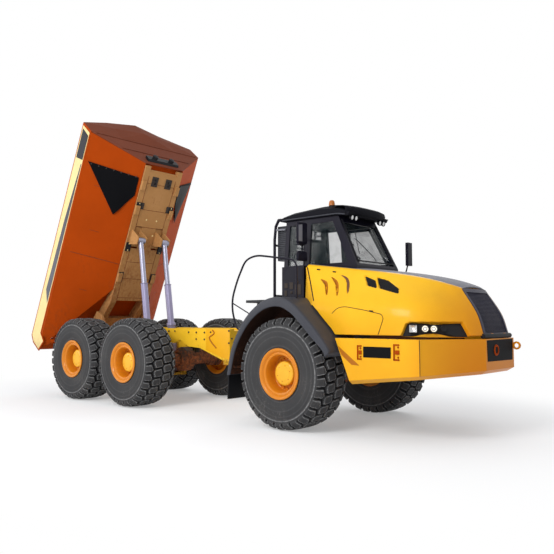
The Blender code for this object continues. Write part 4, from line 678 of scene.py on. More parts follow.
# %% Turned rims with their nuts
RIM = [(0.0, 0.212), (0.17, 0.212), (0.185, 0.207), (0.193, 0.197), (0.198, 0.12), (0.205, 0.112),
       (0.282, 0.108), (0.288, 0.112), (0.296, 0.19), (0.303, 0.29), (0.315, 0.312), (0.338, 0.322),
       (0.352, 0.318), (0.360, 0.330), (0.378, 0.352), (0.392, 0.3595), (0.408, 0.3595), (0.418, 0.352),
       (0.4195, 0.338), (0.395, 0.331), (0.355, 0.292)]
HUB = [(0.0, 0.222), (0.120, 0.221), (0.126, 0.216), (0.172, 0.215), (0.188, 0.209), (0.1965, 0.199),
       (0.2005, 0.150), (0.201, 0.113), (0.196, 0.111)]
RIM_BACK = [(0.355, -0.292), (0.40, -0.335), (0.39, -0.34), (0.31, -0.28), (0.31, -0.16), (0.20, -0.16),
            (0.20, -0.299), (0.0, -0.299)]


NUT_RINGS = ((20, 0.245, 0.108, 0.016, 0.0), (6, 0.135, 0.205, 0.010, 0.3))


def hexagon_nut(centre, size, depth, axis):
    """Six-sided prism with a small dome: a lathe of six steps."""
    return lathe([(0, 0), (size, 0), (size, depth * 0.8), (size * 0.8, depth), (0, depth)], centre, axis, 6)


for wheel, side in WHEELS:
    centre = wheel_centre(wheel)
    out = np.array([0.0, float(side), 0.0])
    shapes = [lathe(RIM + RIM_BACK, centre, out, 72)]
    for count, ring, depth, size, first in NUT_RINGS:
        for a in np.arange(count) * 2 * np.pi / count + first:
            spot = centre + out * depth + ring * np.array([math.cos(a), 0, math.sin(a)])
            shapes.append(hexagon_nut(spot, size, size * 1.5, out))
    piece(f"{wheel}_turned_rim", shapes, f"{wheel}_wheel", RIM_PAINT, stands_for=[f"{wheel}_rim"])
    piece(f"{wheel}_hub", [lathe(HUB, centre, out, 48)], f"{wheel}_wheel", HUB_PAINT)
print("rims turned: 6")

# %% [markdown]
# ## Hood
#
# The hood is one moulded shell. Three lines shape it: the belt above the bumper, the waist and the
# ridge. One parameter runs along the lines and one across them, with a smooth cubic each way. Vents,
# scoops and the lamps' recess are outlines on that surface, pressed in along its normal.

# %% Surface of the hood's side
HOOD_LINES = np.array([
    [(0.25, 1.30, 1.57), (1.10, 1.33, 1.57), (2.00, 1.30, 1.57),
     (2.50, 1.10, 1.57), (2.85, 0.72, 1.57), (2.97, 0.47, 1.57)],
    [(0.25, 1.27, 2.05), (1.10, 1.28, 2.05), (1.95, 1.22, 2.03),
     (2.42, 1.02, 1.98), (2.72, 0.68, 1.93), (2.86, 0.46, 1.90)],
    [(0.25, 0.93, 2.72), (1.00, 0.88, 2.62), (1.70, 0.79, 2.52),
     (2.15, 0.70, 2.43), (2.45, 0.58, 2.34), (2.62, 0.44, 2.27)],
])


def hood_skin(u, v):
    """Point at u along and v across: each line's smooth curve at u, then the three mixed by a curve in v."""
    lines = curve(HOOD_LINES.transpose(1, 0, 2).reshape(6, 9), u).reshape(*u.shape, 3, 3)
    share = curve(np.eye(3), v)
    return (share[..., None] * lines).sum(-2)


def hood_normal(u, v, step=0.01):
    """Unit normal, outward: the cross product of the surface's two slopes."""
    along = hood_skin(u + step, v) - hood_skin(u - step, v)
    across = hood_skin(u, v + step) - hood_skin(u, v - step)
    out = np.cross(across, along)
    return out / np.linalg.norm(out, axis=-1, keepdims=True)


def hood_find(x, z):
    """Parameters of the skin at a place along and a height: a few Newton steps on both at once."""
    x, z = np.asarray(x, float), np.asarray(z, float)
    u = np.interp(x, HOOD_LINES[1, :, 0], np.arange(6.0))
    v = np.interp(z, (1.57, 2.0, 2.6), (0.0, 1.0, 2.0))
    for _ in range(12):
        p, e = hood_skin(u, v), 1e-3
        pu, pv = (hood_skin(u + e, v) - p) / e, (hood_skin(u, v + e) - p) / e
        dx, dz = x - p[..., 0], z - p[..., 2]
        det = pu[..., 0] * pv[..., 2] - pu[..., 2] * pv[..., 0]
        u = np.clip(u + np.clip((dx * pv[..., 2] - dz * pv[..., 0]) / det, -0.5, 0.5), -0.4, 5)
        v = np.clip(v + np.clip((dz * pu[..., 0] - dx * pu[..., 2]) / det, -0.5, 0.5), 0, 2)
    return u, v


def on_hood(xz, side, lift=0.0):
    """Places (x, z) on the hood's side, lifted along the normal, on one side of the truck."""
    xz = np.asarray(xz, float)
    u, v = hood_find(xz[..., 0], xz[..., 1])
    p = hood_skin(u, v) + hood_normal(u, v) * lift
    return at(p * (1, side, 1))


print("hood nose at", hood_skin(np.array(5.0), np.array(0.0)).round(2))

# %% Openings pressed into the side
VENTS = (((1.215, 2.504), (1.409, 2.431), (1.492, 2.314), (1.344, 2.351)),
         ((1.440, 2.470), (1.623, 2.424), (1.856, 2.287), (1.892, 2.215), (1.567, 2.304)))
SEAM = np.array([(0.04, 2.70), (0.16, 2.50), (0.29, 2.29), (0.398, 2.111)])
SCOOPS = (((0.393, 2.485), (0.519, 2.395), (0.640, 2.185)), ((0.587, 2.520), (0.730, 2.388), (0.850, 2.185)),
          ((0.739, 2.550), (0.902, 2.448), (1.040, 2.215)))
VENT_DEPTH, SCOOP_DEPTH, LAMP_DEPTH = 0.030, 0.034, 0.085
LAMP_BAY = ((2.05, 1.53), (2.13, 1.740), (2.19, 1.765), (2.765, 1.765), (2.88, 1.53))


def inside(points, corners):
    """Way to a polygon's outline, negative inside: the nearest edge, signed by a level ray's crossings."""
    p = points[..., None, :]
    a = np.asarray(corners, float)
    b = np.roll(a, -1, axis=0)
    edge = b - a + (0, 1e-9)
    t = np.clip(((p - a) * edge).sum(-1) / (edge ** 2).sum(-1), 0, 1)
    near = np.linalg.norm(p - a - t[..., None] * edge, axis=-1).min(-1)
    level = (a[:, 1] > p[..., 1]) != (b[:, 1] > p[..., 1])
    hits = level & (p[..., 0] < a[:, 0] + (p[..., 1] - a[:, 1]) * edge[:, 0] / edge[:, 1])
    return np.where(hits.sum(-1) % 2 == 1, -near, near)


def scoop_outline(rear, wide=0.055):
    """Crescent: its rear edge is a smooth curve, and its front edge bows ahead of it by a sine."""
    back = spline([(x, z) for x, z in rear], 14)
    bow = np.sin(np.linspace(0, np.pi, 14)) ** 0.7 * wide
    return np.concatenate([back, (back + np.stack([bow, bow * 0.35], 1))[::-1]])


def pressed_depth(x, z):
    """Depth of all openings at a place: full inside an outline, with a wall a centimetre wide."""
    spot = np.stack([x, z], -1)
    depth = np.zeros(x.shape)
    for corners in VENTS:
        depth = np.maximum(depth, VENT_DEPTH * smooth(-inside(spot, corners), -0.016, -0.006))
    for rear in SCOOPS:
        ring = scoop_outline(rear)
        way = inside(spot, ring)
        slope = np.clip((x - np.interp(z, ring[:14, 1][::-1], ring[:14, 0][::-1])) / 0.055, 0, 1)
        depth = np.maximum(depth, (SCOOP_DEPTH * (1 - 0.75 * slope)) * smooth(-way, -0.004, 0.008))
    return np.maximum(depth, LAMP_DEPTH * smooth(-inside(spot, LAMP_BAY), -0.008, 0.008))


# %% Skin of each side, its rounded ridge and the top
FENDER_ARC = np.array([(-1.17, 0.84), (-1.07, 1.28), (-0.89, 1.63), (-0.64, 1.92), (-0.32, 2.12),
                       (0.02, 2.18), (0.30, 2.08), (0.52, 1.91), (0.80, 1.64), (1.05, 1.34), (0.99, 1.24)])
ROUNDING = 0.05
HOOD_WALL = 0.02
RIDGE_V = 1.93


def arch_height(x):
    """Height of the wheel arch over a place, and nothing ahead of it."""
    arc = FENDER_ARC[5:10] * 1.02 + (0, -0.0184)
    return np.interp(x, arc[:, 0], arc[:, 1], right=0.0)


def ridge_inner(u):
    """Line where the rounded ridge meets the top: the ridge moved in by the rounding."""
    return hood_skin(u, np.full(u.shape, 2.0)) + (0, -ROUNDING, 0.012)


def foot_v(u):
    """Lowest v of the skin at each u: the belt, or where it comes out of the wheel arch."""
    trial = np.linspace(0, 1.9, 500)
    p = hood_skin(*np.broadcast_arrays(u[None], trial[:, None]))
    return trial[np.argmax(p[..., 2] > arch_height(p[..., 0]) + 0.012, axis=0)]


def rear_u(v, side):
    """Rear edge of the skin at each v: the slanting joint with the cowl, or square beside the door."""
    if side > 0:
        return np.zeros(v.shape)
    u_seam, v_seam = hood_find(SEAM[:, 0], SEAM[:, 1])
    return np.interp(v, v_seam[::-1], u_seam[::-1])


def hood_side(side, cols=250, rows=92, turn=8):
    """Grid from the wheel arch or belt up to the ridge, then a quarter bend of three mixed points."""
    along, up = np.linspace(0, 1, cols), np.linspace(0, 1, rows)
    first = rear_u(np.array([0.0]), side)
    start = foot_v(first + (5 - first) * along)
    v = start + (RIDGE_V - start) * up[:, None]
    rear = rear_u(v[:, 0], side)[:, None]
    uu = rear + (5 - rear) * along
    skin = hood_skin(uu, v)
    skin = skin - hood_normal(uu, v) * pressed_depth(skin[..., 0], skin[..., 2])[..., None]
    u = uu[-1]
    a, corner, b = skin[-1], hood_skin(u, np.full(cols, 2.0)), ridge_inner(u)
    t = np.linspace(0, 1, turn + 1)[1:, None, None]
    bend = (1 - t) ** 2 * a + 2 * t * (1 - t) * corner + t ** 2 * b
    return at(np.concatenate([skin, bend]) * (1, side, 1)), grid_faces(rows + turn, cols)


for side_name, side in SIDES:
    points, faces = hood_side(side)
    faces = faces if side > 0 else faces[:, ::-1]
    piece(f"hood_side_skin_{side_name}", [(points, faces)], "hood_body", YELLOW, angle=32, wall=HOOD_WALL,
          stands_for=["hood"] if side < 0 else ())


print("hood sides made:", len(SIDES))


# %% Top of the hood and the ledges beside it
def top_sheet(u0, u1, inner, cols, rows):
    """Sheet across the hood between two lines, raised in the middle by a parabola."""
    u = np.linspace(u0, u1, cols)
    edge = ridge_inner(u)
    if inner == 0:
        w = np.linspace(-1, 1, rows)[:, None]
        y = w * edge[None, :, 1]
        z = edge[None, :, 2] + 0.035 * (1 - w ** 2)
    else:
        w = np.linspace(0, 1, rows)[:, None]
        y = edge[None, :, 1] * (1 - w) + inner * w
        z = edge[None, :, 2] + 0.006 * w
    return np.stack([edge[None, :, 0] + 0 * y, y, z + 0 * y], -1), grid_faces(rows, cols)


cut = float(hood_find(np.array(0.905), np.array(2.60))[0])
points, faces = top_sheet(cut, 5.0, 0, 90, 60)
piece("hood_top_skin", [(at(points), faces[:, ::-1])], "hood_body", SILVER, angle=40, wall=HOOD_WALL)
for side_name, side in SIDES:
    points, faces = top_sheet(float(rear_u(np.array(RIDGE_V), side)), cut, 0.695, 40, 12)
    piece(f"hood_ledge_{side_name}", [(at(points * (1, side, 1)), faces if side > 0 else faces[:, ::-1])],
          "hood_body", SILVER, angle=40, wall=HOOD_WALL)

# %% Cowl between the cab and the hood, on the side without the door
def cowl():
    """Ruled sheet from the joint with the hood to the cab's edge, bowed by a sine, its top turned in."""
    foot = foot_v(rear_u(np.array([0.0]), -1))[0]
    v = foot + (RIDGE_V - foot) * np.linspace(0, 1, 30)
    edge = hood_skin(rear_u(v, -1), v) - (0.006, 0, 0)
    back = np.stack([np.full(30, -0.02), np.linspace(0.95, 0.90, 30), edge[:, 2]], 1)
    s = np.linspace(0, 1, 16)[None, :, None]
    sheet = back[:, None] + (edge - back)[:, None] * s + np.sin(s * np.pi) * (0, 0.018, 0)
    top = sheet[-1]
    turned = [top + (0, -0.03, 0.018), np.stack([top[:, 0], np.full(16, 0.664), top[:, 2] + 0.022], 1)]
    return at(np.concatenate([sheet, np.array(turned)]) * (1, -1, 1)), grid_faces(32, 16)[:, ::-1]


piece("cowl_sheet_right", [cowl()], "front_frame", YELLOW, stands_for=["cowl_right"], wall=0.012)
cover = [(2.965, -0.50, 1.560), (2.985, -0.25, 1.560), (2.985, 0.25, 1.560), (2.965, 0.50, 1.560)]
piece("hood_hinge_cover", [tube(at(cover), 0.038, 16)], "hood_body", DARK)
print("cowl and hinge cover made")

# %% [markdown]
# ## Grille and vents
#
# The nose is closed by a fine black mesh in a frame. Each bar is a thin wire carried along the
# nose's own curve, so that the mesh leans and bows with it. The vents have a dark backing with slats.

# %% Grille mesh, vent slats and backings
def nose(y, v, lift=0.0):
    """Front face between the two skins: their shared edge at v, bowed forward by a parabola in y."""
    y, v = np.broadcast_arrays(np.asarray(y, float), np.asarray(v, float))
    edge = hood_skin(np.full(v.shape, 5.0), v)
    bow = 0.03 * (1 - (y / edge[..., 1]) ** 2) + lift
    return at(np.stack([edge[..., 0] + bow, y * 1.0, edge[..., 2] + lift * 0.35], -1))


MESH_WIRE = 0.0028
bars = [tube(nose(y, np.linspace(0.10, 1.88, 14), -0.012), MESH_WIRE, 4)
        for y in np.linspace(-0.405, 0.405, 38)]
bars += [tube(nose(np.linspace(-0.41, 0.41, 12), v, -0.010), MESH_WIRE, 4)
         for v in np.linspace(0.10, 1.88, 32)]
piece("grille_mesh", bars, "hood_body", GRILLE_BLACK, stands_for=["grille"])
y, v = np.meshgrid(np.linspace(-0.43, 0.43, 20), np.linspace(0.04, 1.95, 24))
piece("grille_backing", [(nose(y, v, -0.035), grid_faces(24, 20))], "hood_body", DARK, solid=False)
shapes = []
for y0, y1, v0, v1 in ((-0.455, -0.40, 0.0, 2.0), (0.40, 0.455, 0.0, 2.0), (-0.455, 0.455, 0.0, 0.11),
                       (-0.455, 0.455, 1.87, 2.03)):
    y, v = np.meshgrid(np.linspace(y0, y1, 12), np.linspace(v0, v1, 16))
    scale = np.clip(0.47 - 0.015 * v, 0, 1) / 0.47
    shapes.append(slab(nose(y * scale, v, -0.03), nose(y * scale, v, 0.002)))
piece("grille_frame", shapes, "hood_body", GRILLE_BLACK, angle=30)


print("grille wires:", len(bars))


# %% Vents and scoops
def filled(outline, rings=5):
    """Disc of places inside an outline: shrunken copies of it towards its middle."""
    o = np.asarray(outline, float)
    middle = o.mean(axis=0)
    return middle + (o - middle) * np.linspace(1, 0.02, rings)[:, None, None]


def disc_on_hood(outline, side, lift, rings=5):
    """Filled outline laid on the hood's side at a lift, one for all or one for each place."""
    return on_hood(filled(outline, rings), side, lift), grid_faces(rings, len(outline), wrap_cols=True)


for side_name, side in SIDES:
    shapes = []
    for corners in VENTS:
        o = rounded_path(list(corners) + [corners[0]], 0.02, 4)[:-1]
        o = o.mean(axis=0) + (o - o.mean(axis=0)) * 1.14
        shapes.append(disc_on_hood(o, side, -0.024))
        low, high = np.min(o, axis=0), np.max(o, axis=0)
        for z in np.arange(low[1] + 0.02, high[1] - 0.01, 0.022):
            x = np.linspace(low[0], high[0], 60)
            within = inside(np.stack([x, np.full(60, z)], -1), o) < -0.006
            if within.sum() > 3:
                run = np.stack([x[within], np.full(within.sum(), z)], -1)
                shapes.append(tube(on_hood(run, side, -0.016), 0.004, 5))
    piece(f"hood_vent_slats_{side_name}", shapes, "hood_body", DARK)
    # Painted shade: dark orange crescents lie in the first two scoops.
    shades = []
    for rear in SCOOPS[:2]:
        ring = scoop_outline(rear, 0.046)
        spot = filled(ring)
        shades.append(disc_on_hood(ring, side, 0.003 - pressed_depth(spot[..., 0], spot[..., 1])[..., None]))
    piece(f"hood_scoop_shades_{side_name}", shades, "hood_body", SHADE_AND_FOLD_PAINT)
    # Painted shade: a dark brown sheet fills the third scoop's opening.
    lining = disc_on_hood(scoop_outline(SCOOPS[2], 0.045), side, -0.010)
    piece(f"hood_scoop_opening_shade_{side_name}", [lining], "hood_body", RUST)
print("grille and vents made")

# %% Seams, hatch line and latches
HATCH = ((0.83, 1.90), (0.924, 1.988), (1.06, 2.01), (1.424, 1.952), (1.735, 1.885), (1.777, 1.828),
         (1.69, 1.575))
for side_name, side in SIDES:
    rear = SEAM + (0.012, 0) if side < 0 else np.array([(0.262, 2.69), (0.262, 2.20)])
    shapes = []
    for line, radius in ((rear, 0.0105), (rounded_path(HATCH, 0.06, 5), 0.0055)):
        way = np.linspace(0, len(line) - 1, len(line) * 4)
        dense = np.stack([np.interp(way, np.arange(len(line)), line[:, k]) for k in (0, 1)], 1)
        shapes.append(tube(on_hood(dense, side, 0.0005), radius, 6))
    for x, z in ((0.292, 2.655), (0.62, 2.60), (1.56, 1.935)):
        spot = on_hood([(x - 0.03, z), (x + 0.03, z - 0.008)], side, 0.004)
        shapes.append(tube(spot, 0.012, 8))
    piece(f"hood_seams_{side_name}", shapes, "hood_body", DARK)
print("seams on the hood: 4")

# %% [markdown]
# ## Headlamps
#
# Each front corner has a black bay with one square lamp, two round ones and a small dark one. A lit
# lamp is a turned dish of bright metal behind a clear lens, and its bulb is a small glowing bead.

# %% Lamps in their bays
def lamp_set(side_name, side):
    """Bay of one side with its lamps, each turned half way from the skin's normal to level."""
    bay, dishes, lenses, bulbs = [], [], [], []
    o = rounded_path(list(LAMP_BAY) + [LAMP_BAY[0]], 0.02, 4)[:-1]
    bay.append(disc_on_hood(o, side, -0.058, 8))
    for x, size, sides in ((2.225, 0.088, 4), (2.385, 0.058, 24), (2.49, 0.058, 24), (2.60, 0.045, 24)):
        u, v = hood_find(x, 1.672)
        spot, out = hood_skin(u, v), hood_normal(u, v)
        out = out * (1, side, 0.4)
        out /= np.linalg.norm(out)
        spot = at(spot * (1, side, 1)) - out * 0.052
        first = math.pi / 4 if sides == 4 else 0.0
        bay.append(lathe([(size, 0.0), (size, 0.030), (size - 0.006, 0.034), (size - 0.012, 0.030)],
                         spot, out, sides, first))
        if x < 2.55:
            dishes.append(lathe([(0.008, 0.006), (size * 0.5, 0.010), (size - 0.012, 0.030)],
                                spot, out, sides, first))
            lenses.append(lathe([(0.0, 0.036), (size * 0.6, 0.034), (size - 0.010, 0.031)],
                                spot, out, sides, first))
            bulbs.append(lathe([(0, 0.026), (0.010, 0.022), (0.012, 0.012), (0.0, 0.006)], spot, out, 10))
        else:
            bay.append(lathe([(0.0, 0.026), (size - 0.012, 0.030)], spot, out, sides))
    piece(f"lamp_bay_{side_name}", bay, "hood_body", DARK)
    piece(f"lamp_dishes_{side_name}", dishes, "hood_body", REFLECTOR, solid=False)
    piece(f"lamp_lenses_{side_name}", lenses, "hood_body", LENS, solid=False,
          stands_for=[f"headlamp_{side_name}"])
    piece(f"lamp_bulbs_{side_name}", bulbs, "hood_body", BULB)


for side_name, side in SIDES:
    lamp_set(side_name, side)
print("lamp sets: 2")

# %% [markdown]
# ## Bumper fittings
#
# The bumper wraps the nose. Its side carries a blank dark plate between two latches, and its front
# another plate with the towing eye's hole. Small fasteners and seams make the thick plate read as
# steel, so they are real shapes: bolts, frames and a dark joint at the corner.

# %% Plates, latches, bolts and joints on the bumper
UP = (0, 0, 1)
BUMPER_Y = 1.50
LATCH_BAR = 0.020
for side_name, side in SIDES:
    face_y = (BUMPER_Y + 0.005) * side
    flat = rectangle(1.545, 2.015, 1.245, 1.400)
    rim = tube(at(rounded_path([(x, face_y, z) for x, z in flat + flat[:1]], 0.004, 3)), 0.003, 6)
    sheet = extruded(flat, (BUMPER_Y + 0.001) * side, face_y, chamfer=0.001)
    piece(f"bumper_side_plate_{side_name}", [placed(sheet), rim], "front_frame", PLATE)
    latches = []
    for x0, x1, z0, z1 in ((1.435, 1.515, 1.205, 1.420), (2.062, 2.160, 1.215, 1.450)):
        middle = (z0 + z1) / 2
        for xs, zs in (((x0, x1), (z1 - LATCH_BAR, z1)), ((x0, x1), (z0, z0 + LATCH_BAR)),
                       ((x0, x0 + LATCH_BAR), (z0, z1)), ((x0 + 0.030, x1), (middle - 0.03, middle + 0.03))):
            latches.append(box_between(xs, (BUMPER_Y * side, 1.516 * side), zs, 0.004))
        for z in (z0 + 0.045, z1 - 0.045):
            latches.append(hexagon_nut(at((x1 - 0.02, BUMPER_Y * side, z)), 0.014, 0.016, (0, side, 0)))
    piece(f"bumper_latches_{side_name}", latches, "front_frame", BODY_ORANGE)
    marks = [stud(at((x, 1.455 * side, 1.519)), UP, 0.010, 0.020, 12) for x in (1.38, 1.50, 1.95, 2.10)]
    piece(f"bumper_lip_bolts_{side_name}", marks, "front_frame", MUD_STEEL)
    seam = [(2.481, 1.505 * side, 1.515), (2.481, 1.5008 * side, 1.25), (2.481, 1.5008 * side, 1.01)]
    piece(f"bumper_seam_{side_name}", [tube(at(seam), 0.005, 6)], "front_frame", DARK)
    # Painted shadow: a thin, flat dark orange plate stands for the shade of an inward fold at the back of the
    # bumper's side.
    dent_shade = extruded([(1.075, 1.405), (1.47, 1.115), (1.33, 1.12), (1.135, 1.27)],
                    1.4985 * side, 1.5025 * side, chamfer=0.0015)
    piece(f"bumper_dent_shade_{side_name}", [placed(dent_shade)], "front_frame", SHADE_AND_FOLD_PAINT)

print("sides of the bumper dressed:", len(SIDES))

# %% Plate and eye on the bumper's front
EYE_SPOT = (-0.168, 1.350)
plate = placed(extruded([(-0.475, 1.190), (0.455, 1.180), (0.470, 1.508), (-0.490, 1.500)], 3.0201, 3.0245,
                        axis=0, chamfer=0.001))
ring = lathe([(0.055, 0.0), (0.055, 0.012), (0.068, 0.016), (0.080, 0.012), (0.084, 0.0)],
             at((3.0235, *EYE_SPOT)), (1, 0, 0), 32)
hole = lathe([(0.0, 0.002), (0.056, 0.002)], at((3.0245, *EYE_SPOT)), (1, 0, 0), 32)
piece("bumper_front_plate", [plate, hole], "front_frame", PLATE)
piece("bumper_eye_ring", [ring], "front_frame", BODY_ORANGE)
print("bumper fittings made")

# %% [markdown]
# ## Fenders
#
# A moulded fender bows over each front wheel. Its section is carried along the arc: a flat top, a
# rounded outer edge and a lip that is deepest over the wheel. The liner inside it is a second sheet,
# brown with thrown mud. The deck beside the cab has a pattern of raised bars against slipping.

# %% Section carried along the arc
def fender_ring(lip):
    """Section across the arc: (way in towards the wheel, distance from the middle plane)."""
    return np.array([(0.0, 1.00), (0.0, 1.30), (0.0, 1.66), (0.004, 1.695), (0.018, 1.714), (0.04, 1.719),
                     (lip - 0.03, 1.719), (lip - 0.008, 1.714), (lip, 1.700), (lip - 0.012, 1.688),
                     (0.055, 1.680), (0.036, 1.640), (0.036, 1.30), (0.036, 1.00)])


def along_arc(way_in, y, t):
    """Arc's smooth point at t, moved a way in towards the wheel's middle."""
    p = curve(FENDER_ARC, t)
    gap = p - (0.0, 0.92)
    p = p - gap / np.linalg.norm(gap, axis=-1, keepdims=True) * way_in[..., None]
    return at(np.stack([p[..., 0], y, p[..., 1]], -1))


def fender_sheet(side, count=90):
    """Closed sheet over the wheel; the lip's depth is read off a few places on the arc."""
    t = np.linspace(0, len(FENDER_ARC) - 1, count)
    lip = np.interp(t, (0, 2, 5, 8, 9, 10), (0.09, 0.12, 0.165, 0.15, 0.11, 0.05))
    rings = np.array([fender_ring(deep) for deep in lip])
    return capped(along_arc(rings[..., 0], rings[..., 1] * side, np.repeat(t[:, None], rings.shape[1], 1)))


print("places on the fender's arc:", len(FENDER_ARC))

# %% Deck plates and flaps
BAR_CELL = 0.045


def raised_bars(x, y):
    """Pattern of an anti-slip plate: short bars that lean one way and then the other, by checkers."""
    i, j = np.floor(x / BAR_CELL), np.floor(y / BAR_CELL)
    lean = np.where((i + j) % 2 == 0, 1.0, -1.0)
    a, b = x / BAR_CELL - i - 0.5, y / BAR_CELL - j - 0.5
    along, across = (a + lean * b) * 0.7, (a - lean * b) * 0.7
    return 0.003 * smooth(-np.maximum(np.abs(along) - 0.38, (np.abs(across) - 0.10) * 2), 0.0, 0.10)


def tread_plate(x0, x1, y0, y1, z, side):
    """Plate with raised bars on its top, and a flat underside 5 cm below."""
    cols, rows = int((x1 - x0) / 0.011), int((y1 - y0) / 0.011)
    x, y = np.meshgrid(np.linspace(x0, x1, cols), np.linspace(y0, y1, rows))
    border = smooth(np.minimum(np.minimum(x - x0, x1 - x), np.minimum(y - y0, y1 - y)), 0.01, 0.03)
    top = np.stack([x, y * side, z - 0.003 + raised_bars(x, y) * border], -1)
    low = np.stack([x, y * side, np.full(x.shape, z - 0.05)], -1)
    return slab(at(low), at(top))


def hung_flap(side, y0, y1):
    """Rubber sheet behind the wheel, waved a little by a sine down its height."""
    y, z = np.meshgrid(np.linspace(y0, y1, 14), np.linspace(0.42, 0.95, 16))
    wave = 0.010 * np.sin((0.95 - z) * 9.0) * (0.6 + 0.4 * np.cos(y * 7.0))
    back = np.stack([-1.185 + wave, y * side, z], -1)
    return slab(at(back), at(back + (0.016, 0, 0)))


print("raised bars stand in cells of", BAR_CELL, "m")

# %% Fenders and decks of both sides
DECK_TOP = 2.15
WALL_Y = 0.80
for side_name, side in SIDES:
    piece(f"fender_moulding_{side_name}", [fender_sheet(side)], "front_frame", PLASTIC, angle=40,
          stands_for=[f"fender_{side_name}"])
    t, y = np.meshgrid(np.linspace(0.02, 9.6, 80), np.linspace(1.01, 1.675, 8), indexing="ij")
    lining = along_arc(np.full(t.shape, 0.040), y * side, t), grid_faces(80, 8)
    piece(f"fender_lining_{side_name}", [lining], "front_frame", LINER, solid=False)
    x = np.linspace(-0.95, 0.0, 40)
    y = np.full(40, WALL_Y * side)
    rim = at(np.stack([x, y, np.full(40, 2.098)], 1))
    foot = at(np.stack([x, y, np.interp(x, (-0.95, -0.5, 0.0), (1.58, 1.70, 1.96))], 1))
    wall = np.stack([foot * (1 - k) + rim * k for k in np.linspace(0, 1, 6)])
    wall = slab(wall - (0, 0.004, 0), wall + (0, 0.004, 0))
    piece(f"fender_inner_wall_{side_name}", [wall], "front_frame", LINER)
    piece(f"fender_deck_{side_name}", [tread_plate(-1.0, 0.15, 0.68, 1.40, DECK_TOP, side),
                                       tread_plate(-1.07, -0.757, 0.55, 0.679, DECK_TOP, side)],
          "front_frame", DECK, angle=20)
    posts = [box_between((-1.02, -0.96), (0.68 * side, 1.10 * side), (1.55, 2.10))]
    for z in (0.98, 1.40):
        lean = (z - 0.9) * 0.1
        posts.append(box_between((-1.13 + lean, -1.09 + lean), (1.0 * side, 1.6 * side),
                                 (z - 0.02, z + 0.02)))
    piece(f"fender_stays_{side_name}", posts, "front_frame", MUD_STEEL)
    piece(f"fender_flap_{side_name}", [hung_flap(side, 1.05, 1.66)], "front_frame", FLAP)

print("fenders made:", len(SIDES))

# %% Handrail of the deck
RAIL_Y = -1.50
RAIL_PATH = [(0.12, RAIL_Y + 0.16, 2.10), (0.12, RAIL_Y + 0.16, 2.80), (-0.38, RAIL_Y + 0.06, 2.88),
             (-0.66, RAIL_Y, 2.92), (-0.92, RAIL_Y, 2.85), (-1.12, RAIL_Y, 2.50), (-1.24, RAIL_Y, 2.19),
             (-1.24, RAIL_Y, 1.95), (-1.12, RAIL_Y, 1.62), (-0.88, RAIL_Y, 1.62)]
brace = [(-1.24, RAIL_Y, 2.10), (-0.66, RAIL_Y - 0.11, 1.88)]
piece("deck_handrail", [tube(at(rounded_path(RAIL_PATH, 0.14, 7)), 0.017, 12), tube(at(brace), 0.011, 8)],
      "front_frame", BLACK)
print("handrail bends:", len(RAIL_PATH) - 2)

# %% [markdown]
# ## Dump body
#
# The body's plates are flat, so its solids stay. What makes it real is on them: a cream strip with a
# grey stripe on each side, weld beads along the folds, rubber pads and brackets underneath, and two
# heavy rubber mudguards. All of it is set out on the lowered body and turned up with it.

# %% Strips, stripes and blank plates along the sides
SIDE_FOOT = 1.70
STRIP = [(-1.86, 1.215), (-7.15, 1.277), (-7.285, 1.150), (-7.352, 0.850), (-7.095, 0.733), (-6.965, 0.933),
         (-1.975, 0.878)]
WEDGE = [(-2.72, 0.905), (-2.72, 0.935), (-4.10, 1.06), (-5.90, 1.13), (-6.20, 0.95)]
END_PLATE = [(-1.935, 1.185), (-2.62, 1.192), (-2.62, 0.905), (-2.05, 0.899)]
for side_name, side in SIDES:
    for name, outline, material, y0, y1 in (
            ("strip", STRIP, CREAM, 1.6203, 1.6225), ("stripe", WEDGE, STRIPE, 1.6226, 1.6240),
            ("end_plate", END_PLATE, BLACK, 1.6226, 1.6260)):
        flat = [(x, SIDE_FOOT + up) for x, up in outline]
        sheet = placed(extruded(flat, y0 * side, y1 * side, chamfer=0.0005), raised)
        piece(f"body_{name}_{side_name}", [sheet], "dump_body", material)
print("side strips: 2")

# %% Weld beads, ribs and seams
SLOPE = 0.79
FRONT_LEAN = 0.402
BELLY_Z = 1.6695


def under(y, drop=0.0):
    """Height of the sloping side's lower face at a distance from the middle plane."""
    return SIDE_FOOT + (y - 0.55) * SLOPE - drop


def bead(path, radius=0.006):
    """Weld: a thin tube whose radius swells and shrinks by a sine, sunk in the fold."""
    p = np.asarray(path, float)
    length = np.concatenate([[0], np.cumsum(np.linalg.norm(np.diff(p, axis=0), axis=1))])
    way = np.linspace(0, length[-1], max(8, int(length[-1] / 0.03)))
    dense = np.stack([np.interp(way, length, p[:, k]) for k in range(3)], 1)
    return tube(raised(dense), radius * (1 + 0.18 * np.sin(way * 150)), 6)


